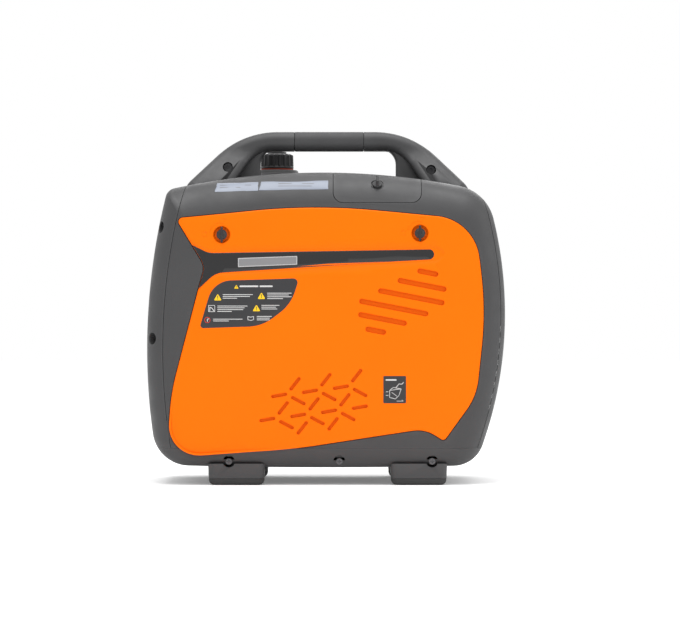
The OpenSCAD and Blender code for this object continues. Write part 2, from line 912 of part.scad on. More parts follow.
module oil_label() {
    color(dark_plastic) cover_layer(0, 0.4) prism_y(soft_outline(shifted(
        box_corners(31.6, 38, 1.5), oil_label_place[0], oil_label_place[1])), front_face - 9, 0);
}

// A quarter-turn knob: a disc with a wing, its shaft, and a keeper behind the cover
module cover_knob(p) {
    color(black_plastic) translate([p[0], 0, p[1]]) union() {
        rod_y(0, 0, 7.3, knob_floor - 2.2, knob_floor - part_gap);
        block(-2, 2, knob_floor - 5.5, knob_floor - 2, -11, 11);
        rod_y(0, 0, cover_knob_shaft, knob_floor - 1, cover_floor + 2.6);
        block(-3.5, 3.5, cover_floor + part_gap, cover_floor + 2.6, -10, 10);
    }
}
module cover_knob_left() {
    cover_knob(knob_places[0]);
}
module cover_knob_right() {
    cover_knob(knob_places[1]);
}

module spark_plug_cover() {
    color(dark_plastic) difference() {
        intersection() {
            difference() {
                case_form(0);
                case_form(wall - part_gap);
            }
            plug_panel_prism(0);
        }
        on_shoulder() cylinder(r = plug_knob_shaft + running_fit, h = 90);
    }
}
module spark_cover_knob() {
    color(black_plastic) on_shoulder() union() {
        translate([0, 0, plug_knob_seat - 5]) cylinder(r = plug_knob_shaft, h = 14);
        translate([0, 0, plug_knob_seat + 4]) cylinder(r = 7, h = 2.5);
        translate([-1.6, -7, plug_knob_seat + 6]) cube([3.2, 14, 9]);
    }
}

// Two data stickers on the front shoulder, left of the access panel
sticker_spans = [[left_end + 99, left_end + 157], [left_end + 161, left_end + 255]];
module rating_stickers() {
    color(metal_grey) intersection() {
        difference() {
            case_form(-0.3);
            case_form(0);
        }
        for (s = sticker_spans) {
            block(s[0], s[1], front_face - 9, front_face + 34, case_top - 29, case_top + 9);
        }
        on_sticker_band();
    }
}
module on_sticker_band() {
    translate([0, shoulder_y, shoulder_z]) rotate([90 - shoulder_tilt, 0, 0])
        block(left_end, right_end, -14, 14, 0, 90);
}

module fuel_tank() {
    color(black_plastic) difference() {
        union() {
            tank_form(0);
            translate([cap_x, cap_y, tank_top - 3]) cylinder(r = neck_radius, h = neck_top - tank_top + 3);
            translate([hose_place[0], hose_place[1], tank_low - 8]) cylinder(r = 2.5, h = 9);
        }
        tank_form(tank_wall);
        translate([cap_x, cap_y, tank_top - 9]) cylinder(r = neck_bore, h = neck_top);
    }
}
module tank_form(inset) {
    translate([0, 0, tank_low + inset]) linear_extrude(tank_height - 2 * inset)
        polygon(soft_outline([[tank_left, tank_front, 18], [tank_right, tank_front, 18],
            [tank_right, tank_back, 18], [tank_left, tank_back, 18]], inset));
}
module fuel_neck_collar() {
    color(dark_plastic) difference() {
        translate([cap_x, cap_y, 0]) rotate_extrude() polygon([
            [neck_radius + cap_clearance, case_top - 20], [neck_radius + 20, case_top - 20],
            [neck_radius + 18, case_top + 3], [neck_radius + 11, collar_top],
            [neck_radius + cap_clearance, collar_top]]);
        case_form(0);
    }
}
module fuel_cap_gasket() {
    color(gasket_red) translate([cap_x, cap_y, collar_top + 0.2]) difference() {
        cylinder(r = cap_radius - 0.5, h = gasket_thickness - 0.2);
        translate([0, 0, -1]) cylinder(r = cap_bore, h = 9);
    }
}
module fuel_cap() {
    color(black_plastic) translate([cap_x, cap_y, cap_low]) difference() {
        union() {
            cylinder(r = cap_radius, h = 3);
            cylinder(r = cap_radius - 1.6, h = cap_height);
            for (i = [0:cap_ribs - 1]) {
                rotate([0, 0, 360 * i / cap_ribs]) translate([cap_radius - 2.1, 0, 0])
                    cylinder(r = 1.7, h = cap_height - 1.5);
            }
        }
        translate([0, 0, -1]) cylinder(r = cap_bore, h = neck_top - cap_low + 2);
        translate([0, 0, cap_height - 5]) cylinder(r = 4 + running_fit, h = 9);
    }
}
module cap_vent_knob() {
    color(black_plastic) translate([cap_x, cap_y, cap_top]) difference() {
        union() {
            translate([0, 0, part_gap]) cylinder(r = vent_radius, h = vent_height);
            translate([0, 0, -4.5]) cylinder(r = 4, h = 6);
            translate([-vent_radius - 2, -3, part_gap]) cube([vent_radius + 2, 6, vent_height]);
        }
        translate([0, 0, vent_height - 0.6]) cylinder(r = 7, h = 9);
    }
}
hose_place = [engine_x - 70, -34];
hose_radius = 4;
carb_top = barrel_top + 42;
module fuel_hose() {
    color(rubber_black) translate([hose_place[0], hose_place[1], carb_top]) difference() {
        cylinder(r = hose_radius, h = tank_low - carb_top);
        translate([0, 0, -1]) cylinder(r = 2.55, h = tank_low);
    }
}

module control_panel() {
    color(black_plastic) difference() {
        prism_x(soft_outline(panel_corners, -panel_rim), panel_face, panel_face + panel_thickness);
        for (p = outlet_places) {
            rod_x(p[0], p[1], outlet_radius - 3, panel_face - 9, panel_face + 9);
        }
        rod_x(switch_place[0], switch_place[1], 5 + running_fit, panel_face - 9, panel_face + 9);
        rod_x(button_place[0], button_place[1], button_radius + running_fit, panel_face - 9,
            panel_face + 9);
        rod_x(dc_place[0], dc_place[1], 12, panel_face - 9, panel_face + 9);
        block(panel_face - 9, panel_face + 9, eco_place[0] - 8, eco_place[0] + 8,
            eco_place[1] - 12, eco_place[1] + 12);
        for (p = lens_places) {
            rod_x(p[0], p[1], 3.5, panel_face - 9, panel_face + 9);
        }
        rod_x(ground_place[0], ground_place[1], 4, panel_face - 9, panel_face + 9);
    }
}
module main_switch_knob() {
    color(black_plastic) translate([panel_face, switch_place[0], switch_place[1]]) union() {
        rod_x(0, 0, 5, -2, panel_thickness + 9);
        rod_x(0, 0, switch_radius, -6, -part_gap);
        rod_x(0, 0, switch_radius - 3, -8, -6);
        block(-switch_height, -7, -4.5, 4.5, 2 - switch_radius, switch_radius - 2);
    }
}
// A rocker on a cross pin, in a window of the panel
module eco_switch() {
    color(black_plastic) translate([panel_face - 0.5, eco_place[0], eco_place[1]]) union() {
        block(-3, 4, -7, 7, -9.5, 9.5);
        rotate([90, 0, 0]) translate([0, 0, -7]) cylinder(r = 4.5, h = 14);
    }
}
// Socket bodies with a round well and two contact holes, reaching back behind the panel
well_radius = 19;
well_depth = 14;
module ac_sockets() {
    color(black_plastic) for (p = outlet_places) {
        difference() {
            union() {
                rod_x(p[0], p[1], outlet_radius, panel_face - outlet_height, panel_face);
                rod_x(p[0], p[1], outlet_radius - 3.3, panel_face - 1, panel_face + 24);
                lid_knuckles(p);
            }
            rod_x(p[0], p[1], well_radius - 2, panel_face - 9, panel_face - outlet_height + well_depth);
            for (side = [-1, 1]) {
                rod_x(p[0] + 9.5 * side, p[1], 2.5, panel_face, panel_face + 20);
            }
        }
    }
}
lid_hinge_x = panel_face - outlet_height - 3;
lid_hinge_rise = outlet_radius + 3.5;
module lid_knuckles(p) {
    for (side = [-1, 1]) {
        difference() {
            union() {
                translate([lid_hinge_x, p[0] + 11 * side - 2.5, p[1] + lid_hinge_rise]) rotate([-90, 0, 0])
                    cylinder(r = 3.4, h = 5);
                block(lid_hinge_x, panel_face, p[0] + 11 * side - 2.5, p[0] + 11 * side + 2.5,
                    p[1] + outlet_radius - 3, p[1] + lid_hinge_rise + 3);
            }
            translate([lid_hinge_x, p[0] - 20, p[1] + lid_hinge_rise]) rotate([-90, 0, 0])
                cylinder(r = lid_pin_radius + running_fit, h = 40);
        }
    }
}
// A sprung lid with its hinge pin
module socket_lid(p) {
    lid_face = panel_face - outlet_height - part_gap;
    color(dark_plastic) translate([0, p[0], p[1]]) union() {
        difference() {
            union() {
                rod_x(0, 0, lid_radius - 2, lid_face - lid_thickness, lid_face);
                block(lid_face - lid_thickness, lid_face, -8, 8, 0, lid_hinge_rise + 1);
            }
            for (side = [-1, 1]) {
                translate([lid_hinge_x - 20, 11 * side - 3, outlet_radius - 4]) cube([40, 6, 20]);
            }
        }
        translate([lid_hinge_x, -8, lid_hinge_rise]) rotate([-90, 0, 0]) cylinder(r = 3.2, h = 16);
        translate([lid_hinge_x, -13.5, lid_hinge_rise]) rotate([-90, 0, 0])
            cylinder(r = lid_pin_radius, h = 27);
    }
}
module socket_lid_left() {
    socket_lid(outlet_places[0]);
}
module socket_lid_right() {
    socket_lid(outlet_places[1]);
}
module dc_socket() {
    color(black_plastic) difference() {
        union() {
            rod_x(dc_place[0], dc_place[1], 15, panel_face - 3, panel_face);
            rod_x(dc_place[0], dc_place[1], 11.8, panel_face - 1, panel_face + 24);
        }
        rod_x(dc_place[0], dc_place[1], 10.5, panel_face - 9, panel_face + 20);
    }
}
module breaker_button() {
    color(button_red) union() {
        rod_x(button_place[0], button_place[1], button_radius, panel_face - button_height,
            panel_face + panel_thickness + 2);
        rod_x(button_place[0], button_place[1], button_radius + 2, panel_face + panel_thickness
            + part_gap, panel_face + panel_thickness + 3);
    }
}
module indicator_lenses() {
    color(lens_green) for (p = lens_places) {
        rod_x(p[0], p[1], 3.5, panel_face - 1.5, panel_face + panel_thickness);
    }
}
module ground_terminal() {
    color(metal_grey) union() {
        rod_x(ground_place[0], ground_place[1], 4, panel_face - 12, panel_face + 12);
        translate([panel_face - 6, ground_place[0], ground_place[1]]) rotate([0, 90, 0])
            cylinder(r = 8, h = 6, $fn = 6);
    }
}

// Starter: the grip rests in its pocket, and the rope runs in through the guide
module recoil_grip() {
    color(black_plastic) difference() {
        union() {
            translate([rope_x - grip_half, pocket_floor + 12.5, rope_z]) rotate([0, 90, 0])
                cylinder(r = grip_radius, h = 2 * grip_half);
            rod_y(rope_x, rope_z, 8, pocket_floor + 2.4, pocket_floor + 12);
        }
        rod_y(rope_x, rope_z, rope_radius, pocket_floor, pocket_floor + 14);
    }
}
module starter_rope() {
    color(rope_white) rod_y(rope_x, rope_z, rope_radius, pocket_floor + 14 - rope_travel - 12,
        pocket_floor + 14);
}
module rope_guide() {
    color(black_plastic) difference() {
        union() {
            rod_y(rope_x, rope_z, guide_radius, pocket_floor - wall, pocket_floor);
            rod_y(rope_x, rope_z, guide_radius + 3, pocket_floor, pocket_floor + 2);
            rod_y(rope_x, rope_z, guide_radius + 3, pocket_floor - wall - 2, pocket_floor - wall);
        }
        rod_y(rope_x, rope_z, rope_radius + 1, pocket_floor - 20, pocket_floor + 9);
    }
}
housing_radius = 72;
module recoil_housing() {
    color(dark_plastic) difference() {
        rod_y(engine_x, crank_height, housing_radius, pulley_front - 3, housing_back);
        rod_y(engine_x, crank_height, housing_radius - wall, pulley_front - 4, housing_back - wall);
        for (i = [0:7]) {
            translate([engine_x, 0, crank_height]) rotate([0, 45 * i, 0]) translate([0, 0, 54])
                slot_y(26, 8, pulley_front, housing_back + 1);
        }
    }
    color(dark_plastic) rod_y(engine_x, crank_height, 8, pulley_front, housing_back - wall);
}
pulley_radius = 40;
module recoil_pulley() {
    color(black_plastic) difference() {
        rod_y(engine_x, crank_height, pulley_radius, pulley_front, pulley_back);
        rod_y(engine_x, crank_height, 8 + running_fit, pulley_front - 1, pulley_back + 1);
        difference() {
            rod_y(engine_x, crank_height, pulley_radius + 1, pulley_front + 2, pulley_back - 2);
            rod_y(engine_x, crank_height, pulley_radius - 8, pulley_front, pulley_back);
        }
    }
}

module engine_block() {
    color(metal_grey) difference() {
        union() {
            block(engine_x - crankcase_half, engine_x + crankcase_half, crankcase_front,
                crankcase_back, crankcase_low, crankcase_high);
            translate([engine_x, cylinder_y, crankcase_high - 1])
                cylinder(r = bore_radius + 6, h = barrel_top - crankcase_high + 1);
            for (z = [crankcase_high + 5:fin_pitch:barrel_top - fin_thickness]) {
                block(engine_x - 44, engine_x + 44, cylinder_y - 44, cylinder_y + 44, z,
                    z + fin_thickness);
            }
        }
        rod_y(engine_x, crank_height, crank_room, crankcase_front + 8, crankcase_back - 8);
        rod_y(engine_x, crank_height, journal_radius + running_fit, crankcase_front + 3,
            crankcase_back + 1);
        translate([engine_x, cylinder_y, crank_height]) cylinder(r = bore_radius, h = 400);
        rod_y(oil_place[0], oil_place[1], 9, crankcase_front - 1, crankcase_front + 9);
        at_plug() translate([0, 0, -14]) cylinder(r = plug_thread + 0.05, h = 30);
    }
}
oil_place = [engine_x + 28, crankcase_low + 24];
module oil_filler_cap() {
    color(black_plastic) union() {
        rod_y(oil_place[0], oil_place[1], 15, crankcase_front - 12, crankcase_front);
        rod_y(oil_place[0], oil_place[1], 8.9, crankcase_front - 1, crankcase_front + 6);
        block(oil_place[0] - 12, oil_place[0] + 12, crankcase_front - 18, crankcase_front - 11,
            oil_place[1] - 3, oil_place[1] + 3);
    }
}
module cylinder_head() {
    color(metal_grey) difference() {
        union() {
            block(engine_x - head_half, engine_x + head_half, cylinder_y - 46, cylinder_y + 46,
                barrel_top, barrel_top + 8);
            block(engine_x - 40, engine_x + 40, cylinder_y - 30, cylinder_y + 38, barrel_top + 8,
                head_top);
            for (z = [barrel_top + 14:fin_pitch:head_top - 6]) {
                block(engine_x - head_half, engine_x + head_half, cylinder_y - 34, cylinder_y + 46, z,
                    z + fin_thickness);
            }
            rod_x(carb_y, carb_z, 15, engine_x - head_half, engine_x);
            rod_x(exhaust_y, exhaust_z, 15, engine_x, engine_x + head_half);
        }
        translate([engine_x, cylinder_y, barrel_top - 1]) cylinder(r = bore_radius - 2, h = 7);
        rod_x(carb_y, carb_z, 9, engine_x - head_half - 1, engine_x - 10);
        rod_x(exhaust_y, exhaust_z, 9, engine_x + 10, engine_x + head_half + 1);
        at_plug() {
            translate([0, 0, -14]) cylinder(r = plug_thread + 0.05, h = 60);
            translate([0, 0, 8]) cylinder(r = 13, h = 90);
        }
    }
}
carb_y = -24;
carb_z = barrel_top + 22;
exhaust_y = 14;
exhaust_z = barrel_top + 20;
module at_plug() {
    translate(plug_base) rotate([plug_tilt, 0, 0]) children();
}
module crankshaft() {
    color(metal_grey) union() {
        rod_y(engine_x, crank_height, journal_radius, crankcase_front + 4,
            cylinder_y - web_gap / 2 - 1);
        rod_y(engine_x, crank_height, journal_radius, cylinder_y + web_gap / 2 + 1, shaft_back);
        for (y = [cylinder_y - web_gap / 2 - web_thickness, cylinder_y + web_gap / 2]) {
            rod_y(engine_x, crank_height, web_radius, y, y + web_thickness);
        }
        rod_y(engine_x, crank_height + crank_throw, crank_pin, cylinder_y - web_gap / 2 - 1,
            cylinder_y + web_gap / 2 + 1);
    }
}
module connecting_rod() {
    rod_half = web_gap / 2 - 0.5;
    color(metal_grey) difference() {
        union() {
            rod_y(engine_x, crank_height + crank_throw, 15, cylinder_y - rod_half,
                cylinder_y + rod_half);
            rod_y(engine_x, piston_pin_z, 10, cylinder_y - rod_half, cylinder_y + rod_half);
            block(engine_x - 6, engine_x + 6, cylinder_y - rod_half, cylinder_y + rod_half,
                crank_height + crank_throw + 12, piston_pin_z - 7);
        }
        rod_y(engine_x, crank_height + crank_throw, crank_pin + running_fit, -60, 60);
        rod_y(engine_x, piston_pin_z, piston_pin + running_fit, -60, 60);
    }
}
module piston() {
    color(metal_grey) union() {
        difference() {
            translate([engine_x, cylinder_y, piston_pin_z - 16])
                cylinder(r = bore_radius - running_fit, h = 38);
            translate([engine_x, cylinder_y, piston_pin_z - 17])
                cylinder(r = bore_radius - 4, h = 32);
        }
        rod_y(engine_x, piston_pin_z, piston_pin, cylinder_y - bore_radius + 2,
            cylinder_y + bore_radius - 2);
    }
}
module flywheel_rotor() {
    color(metal_grey) difference() {
        rod_y(engine_x, crank_height, rotor_radius, rotor_front, rotor_back);
        rod_y(engine_x, crank_height, rotor_radius - rotor_wall, rotor_front - 1, rotor_back - 6);
        rod_y(engine_x, crank_height, journal_radius + running_fit, 0, rotor_back + 9);
        for (i = [0:5]) {
            translate([engine_x, 0, crank_height]) rotate([0, 60 * i, 0])
                rod_y(0, 36, 8, rotor_front, rotor_back + 1);
        }
    }
}
stator_poles = 12;
module stator() {
    color(copper) difference() {
        union() {
            rod_y(engine_x, crank_height, 34, crankcase_back, stator_back);
            for (i = [0:stator_poles - 1]) {
                translate([engine_x, 0, crank_height]) rotate([0, 360 * i / stator_poles, 0])
                    block(-4, 4, rotor_front + 2, stator_back, 30, rotor_radius - rotor_wall - 2);
            }
        }
        rod_y(engine_x, crank_height, journal_radius + 4, 0, stator_back + 1);
    }
}
fan_blades = 12;
module cooling_fan() {
    color(black_plastic) difference() {
        union() {
            rod_y(engine_x, crank_height, 68, rotor_back, rotor_back + 3);
            for (i = [0:fan_blades - 1]) {
                translate([engine_x, 0, crank_height]) rotate([0, 360 * i / fan_blades, 0])
                    translate([0, 0, 30]) rotate([0, 25, 0])
                    block(-1.2, 1.2, rotor_back + 2, fan_back, 0, 34);
            }
        }
        rod_y(engine_x, crank_height, journal_radius + 0.2, 0, rotor_back + 20);
    }
}
module spark_plug() {
    color(ceramic_white) at_plug() union() {
        translate([0, 0, -8]) cylinder(r = plug_thread, h = 17);
        translate([0, 0, 8]) cylinder(r = 9, h = 8, $fn = 6);
        translate([0, 0, 15]) cylinder(r = 5, h = 24);
        translate([0, 0, 38]) cylinder(r = 3, h = 10);
    }
}
module plug_cap() {
    color(rubber_black) at_plug() difference() {
        translate([0, 0, 20]) cylinder(r = 10, h = 44);
        translate([0, 0, 19]) cylinder(r = 5.05, h = 20);
        translate([0, 0, 30]) cylinder(r = 3.05, h = 18.2);
    }
}
filter_right = engine_x - 92;
module carburetor() {
    color(metal_grey) difference() {
        union() {
            block(filter_right + 6, engine_x - head_half - 4, carb_y - 16, carb_y + 16, carb_z - 20,
                carb_top);
            rod_x(carb_y, carb_z, 13, filter_right, engine_x - head_half);
            translate([engine_x - 68, carb_y, carb_z - 40]) cylinder(r = 15, h = 22);
        }
        rod_x(carb_y, carb_z, 9, filter_right - 1, engine_x);
        translate([hose_place[0], hose_place[1], carb_z]) cylinder(r = 2.5, h = 90);
    }
}
module air_filter_box() {
    color(black_plastic) difference() {
        block(filter_right - 76, filter_right, front_face + 24, carb_y + 16, carb_z - 62,
            carb_z + 20);
        block(filter_right - 73, filter_right - 3, front_face + 27, carb_y + 13, carb_z - 59,
            carb_z + 17);
        rod_x(carb_y, carb_z, 9, filter_right - 9, filter_right + 9);
        for (i = [0:3]) {
            translate([filter_right - 38, 0, carb_z - 48 + 12 * i]) slot_y(50, 5, front_face + 20,
                front_face + 29);
        }
    }
}
muffler_left = right_end - 88;
muffler_right = right_end - 20;
muffler_corners = [
    [muffler_left, exhaust_z - 60, 16],
    [muffler_right, exhaust_z - 60, 16],
    [muffler_right, exhaust_z + 34, 16],
    [muffler_left, exhaust_z + 34, 16]];
module muffler() {
    color(metal_grey) difference() {
        union() {
            prism_y(soft_outline(muffler_corners), -66, 66);
            rod_x(exhaust_y, exhaust_z, 12, engine_x + head_half, muffler_left + 5);
            rod_x(outlet_pipe_y, outlet_pipe_z, outlet_pipe_radius, muffler_right - 5, right_end - 6);
        }
        prism_y(soft_outline(muffler_corners, 2), -64, 64);
        rod_x(exhaust_y, exhaust_z, 9, engine_x + head_half - 1, muffler_left + 9);
        rod_x(outlet_pipe_y, outlet_pipe_z, outlet_pipe_radius - 2, muffler_right - 9, right_end);
    }
}
inverter_left = left_end + 62;
module inverter_module() {
    color(metal_grey) union() {
        block(inverter_left, inverter_left + 82, -70, 100, case_bottom + 26, case_bottom + 96);
        for (i = [0:9]) {
            block(inverter_left + 1 + 8.6 * i, inverter_left + 4 + 8.6 * i, -66, 96, case_bottom + 95,
                case_bottom + 120);
        }
    }
}
module engine_mounts() {
    color(rubber_black) for (p = mount_places) {
        translate([p[0], p[1], mount_low]) cylinder(r = mount_radius, h = mount_height);
    }
}

front_shell();
back_shell();
control_end_cover();
exhaust_end_cover();
base_tray();
feet();
foot_soles();
handle_front_half();
handle_rear_half();
handle_grip();
handle_bolts();
case_screws();
maintenance_cover();
cover_seal();
accent_strip();
badge_plate();
warning_label();
oil_label();
cover_knob_left();
cover_knob_right();
spark_plug_cover();
spark_cover_knob();
rating_stickers();
fuel_tank();
fuel_neck_collar();
fuel_cap_gasket();
fuel_cap();
cap_vent_knob();
fuel_hose();
control_panel();
main_switch_knob();
eco_switch();
ac_sockets();
socket_lid_left();
socket_lid_right();
dc_socket();
breaker_button();
indicator_lenses();
ground_terminal();
recoil_grip();
starter_rope();
rope_guide();
recoil_housing();
recoil_pulley();
engine_block();
cylinder_head();
crankshaft();
piston();
connecting_rod();
flywheel_rotor();
stator();
cooling_fan();
spark_plug();
plug_cap();
carburetor();
air_filter_box();
oil_filler_cap();
muffler();
inverter_module();
engine_mounts();
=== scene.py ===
"""Looks of the portable generator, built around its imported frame. Lengths in this file are millimetres."""

import json
import math

import bmesh
import bpy
import numpy as np
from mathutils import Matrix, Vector
from mathutils.bvhtree import BVHTree
from mathutils.geometry import delaunay_2d_cdt


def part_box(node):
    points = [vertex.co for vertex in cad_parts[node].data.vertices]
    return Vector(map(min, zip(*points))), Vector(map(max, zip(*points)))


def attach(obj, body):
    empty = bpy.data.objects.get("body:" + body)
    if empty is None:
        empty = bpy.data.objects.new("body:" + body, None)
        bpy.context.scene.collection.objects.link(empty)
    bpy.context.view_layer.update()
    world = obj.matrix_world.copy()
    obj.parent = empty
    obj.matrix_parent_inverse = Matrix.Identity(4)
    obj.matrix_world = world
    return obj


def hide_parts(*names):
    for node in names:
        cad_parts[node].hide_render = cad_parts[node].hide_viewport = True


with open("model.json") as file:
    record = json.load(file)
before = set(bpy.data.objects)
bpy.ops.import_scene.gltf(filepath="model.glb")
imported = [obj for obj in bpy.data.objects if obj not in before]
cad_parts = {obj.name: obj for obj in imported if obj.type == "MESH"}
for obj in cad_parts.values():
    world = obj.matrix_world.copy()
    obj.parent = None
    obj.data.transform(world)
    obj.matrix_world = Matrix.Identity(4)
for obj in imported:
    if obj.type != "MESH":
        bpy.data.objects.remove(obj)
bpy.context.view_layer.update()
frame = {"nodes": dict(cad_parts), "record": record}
MM = 0.001


def box_mm(node):
    low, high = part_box(node)
    return low / MM, high / MM


# ---- dimensions
TOP = box_mm("fuel_neck_collar")[1].z - 10
BOTTOM = box_mm("base_tray")[0].z
RIGHT = box_mm("exhaust_end_cover")[1].x
LEFT = -RIGHT
BACK = box_mm("back_shell")[1].y
FRONT = -BACK
TRAY_TOP = box_mm("base_tray")[1].z
HANDLE_TOP = box_mm("handle_front_half")[1].z
GRIP_LOW, GRIP_HIGH = box_mm("handle_grip")
HANDLE_UNDER = GRIP_LOW.z
WALL = 3
SEAM = 0.5
TRAY_SEAM = 0.06
COVER_GAP = 0.7
COVER_PROUD = 1.5
MIDDLE_Z = (TOP + BOTTOM) / 2

# Bulge of each side as [centre x, centre z, radius], counterclockwise from the right-hand side
SIDES = [
    [RIGHT - 560, 240, 560],
    [-5, TOP - 1000, 1000],
    [LEFT + 890, 190, 890],
    [0, BOTTOM + 8000, 8000],
]
CORNER_RADII = [62, 16, 52, 44]
SHOULDERS = [38, 52, 38, 30]
LEFT_GROOVE = (LEFT + 890, 190, 866)
RIGHT_GROOVE = (RIGHT - 560, 240, 553)
SHARP_ANGLE = math.radians(32)


# ---- outlines
def arc_points(centre, radius, start, end, steps):
    angles = start + (end - start) * np.arange(steps) / steps
    return [(centre[0] + radius * math.cos(a), centre[1] + radius * math.sin(a)) for a in angles]


def corner_centre(a, b, r):
    """Centre of an arc of radius r that touches the bulged sides a and b from inside."""
    ca, cb = np.array(a[:2]), np.array(b[:2])
    d = cb - ca
    length = np.linalg.norm(d)
    p, q = a[2] - r, b[2] - r
    s = (p * p - q * q + length * length) / (2 * length)
    h = math.sqrt(p * p - s * s)
    return ca + (s * d + h * np.array([-d[1], d[0]])) / length


def bulged_outline(insets):
    """The case outline with each side moved in by its own inset; also the side weight of each point."""
    side_steps, corner_steps = 30, 14
    sides = [[c[0], c[1], c[2] - i] for c, i in zip(SIDES, insets)]
    radii = [max(r - (insets[k] + insets[(k + 1) % 4]) / 2, 8) for k, r in enumerate(CORNER_RADII)]
    centres = [corner_centre(sides[k], sides[(k + 1) % 4], radii[k]) for k in range(4)]
    points, sides_of = [], []
    for k in range(4):
        side, following = sides[k], sides[(k + 1) % 4]
        before = math.atan2(*(centres[k - 1] - side[:2])[::-1])
        after = math.atan2(*(centres[k] - side[:2])[::-1])
        after += 2 * math.pi * (after < before)
        last = math.atan2(*(centres[k] - following[:2])[::-1])
        last += 2 * math.pi * (last < after)
        points += arc_points(side[:2], side[2], before, after, side_steps)
        sides_of += [k] * side_steps
        points += arc_points(centres[k], radii[k], after, last, corner_steps)
        sides_of += [k + i / corner_steps for i in range(corner_steps)]
    return np.array(points), np.array(sides_of)


def soft_outline(corners, inset=0, steps=8):
    """Outline from counterclockwise corners (x, y, radius), moved in by inset, with rounded corners."""
    p = np.array([c[:2] for c in corners], float)
    n = len(p)
    moved = []
    for i in range(n):
        u = p[i] - p[i - 1]
        v = p[(i + 1) % n] - p[i]
        u, v = u / np.linalg.norm(u), v / np.linalg.norm(v)
        nu, nv = np.array([-u[1], u[0]]), np.array([-v[1], v[0]])
        moved.append(p[i] + inset * (nu + nv) / (1 + nu @ nv))
    out = []
    for i in range(n):
        a, b, c = moved[i - 1], moved[i], moved[(i + 1) % n]
        u, v = (b - a) / np.linalg.norm(b - a), (c - b) / np.linalg.norm(c - b)
        turn = math.atan2(u[0] * v[1] - u[1] * v[0], u @ v)
        side = 1 if turn > 0 else -1
        r = max(corners[i][2] - side * inset, 0.3)
        centre = b - u * r * math.tan(abs(turn) / 2) + side * r * np.array([-u[1], u[0]])
        start = math.atan2(-side * u[0], side * u[1])
        for k in range(steps + 1):
            angle = start + turn * k / steps
            out.append((centre[0] + r * math.cos(angle), centre[1] + r * math.sin(angle)))
    return np.array(out)


def box_corners(w, h, r, x=0, y=0):
    return [(x - w / 2, y - h / 2, r), (x + w / 2, y - h / 2, r), (x + w / 2, y + h / 2, r),
            (x - w / 2, y + h / 2, r)]


def rounded_box(w, h, r, x=0, y=0):
    return soft_outline(box_corners(w, h, r, x, y))


def circle(r, x=0, y=0, steps=48):
    return np.array(arc_points((x, y), r, 0, 2 * math.pi, steps))


def turned_slot(x, y, length, width, angle, steps=8):
    """A slot with round ends, centred on (x, y) and turned by angle in degrees."""
    flat = soft_outline(box_corners(length, width, width / 2 - 0.02), 0, steps)
    a = math.radians(angle)
    turn = np.array([[math.cos(a), math.sin(a)], [-math.sin(a), math.cos(a)]])
    return flat @ turn + np.array([x, y])


def offset_loop(loop, distance):
    """A counterclockwise loop moved in by distance along its own normals."""
    before = loop - np.roll(loop, 1, 0)
    after = np.roll(loop, -1, 0) - loop
    before = before / np.maximum(np.linalg.norm(before, axis=1, keepdims=True), 1e-9)
    after = after / np.maximum(np.linalg.norm(after, axis=1, keepdims=True), 1e-9)
    n = np.stack([-(before + after)[:, 1], (before + after)[:, 0]], 1)
    n = n / np.maximum(np.linalg.norm(n, axis=1, keepdims=True), 1e-9)
    return loop + n * distance


def inside(points, loop):
    x, y = points[:, 0][:, None], points[:, 1][:, None]
    a, b = loop, np.roll(loop, -1, 0)
    crosses = (a[:, 1] > y) != (b[:, 1] > y)
    with np.errstate(divide="ignore", invalid="ignore"):
        at = a[:, 0] + (y - a[:, 1]) * (b[:, 0] - a[:, 0]) / (b[:, 1] - a[:, 1])
    return (crosses & (x < at)).sum(1) % 2 == 1


def distance_to(points, loop):
    a, b = loop, np.roll(loop, -1, 0)
    d = b - a
    t = ((points[:, None, :] - a) * d).sum(2) / np.maximum((d * d).sum(1), 1e-9)
    near = a + np.clip(t, 0, 1)[:, :, None] * d
    return np.linalg.norm(points[:, None, :] - near, axis=2).min(1)


# ---- meshes
def mesh_object(name, verts, faces, look):
    """A new object from vertices in millimetres; look is a name in MATS, or None."""
    mesh = bpy.data.meshes.new(name)
    mesh.from_pydata([tuple(float(c) * MM for c in v) for v in verts], [], faces)
    mesh.validate()
    obj = bpy.data.objects.new(name, mesh)
    bpy.context.collection.objects.link(obj)
    tidy(obj)
    if look:
        mesh.materials.append(MATS[look])
    return obj


def tidy(obj, merge=0.002):
    """Welds doubles, points the faces outwards, and marks the sharp edges."""
    bm = bmesh.new()
    bm.from_mesh(obj.data)
    bmesh.ops.remove_doubles(bm, verts=bm.verts, dist=merge * MM)
    bmesh.ops.dissolve_degenerate(bm, edges=bm.edges, dist=merge * MM)
    bmesh.ops.recalc_face_normals(bm, faces=bm.faces)
    for f in bm.faces:
        f.smooth = True
    for e in bm.edges:
        e.smooth = e.calc_face_angle(0) < SHARP_ANGLE
    bm.to_mesh(obj.data)
    bm.free()
    obj.data.update()
    return obj


def joined(name, objects):
    """One object holding the meshes and the materials of several."""
    bm = bmesh.new()
    materials = []
    for o in objects:
        first = len(bm.faces)
        bm.from_mesh(o.data)
        bm.faces.ensure_lookup_table()
        own = []
        for m in o.data.materials:
            if m not in materials:
                materials.append(m)
            own.append(materials.index(m))
        for f in bm.faces[first:]:
            f.material_index = own[min(f.material_index, len(own) - 1)] if own else 0
    mesh = bpy.data.meshes.new(name)
    bm.to_mesh(mesh)
    bm.free()
    for m in materials:
        mesh.materials.append(m)
    obj = bpy.data.objects.new(name, mesh)
    bpy.context.collection.objects.link(obj)
    for o in objects:
        bpy.data.objects.remove(o)
    return obj


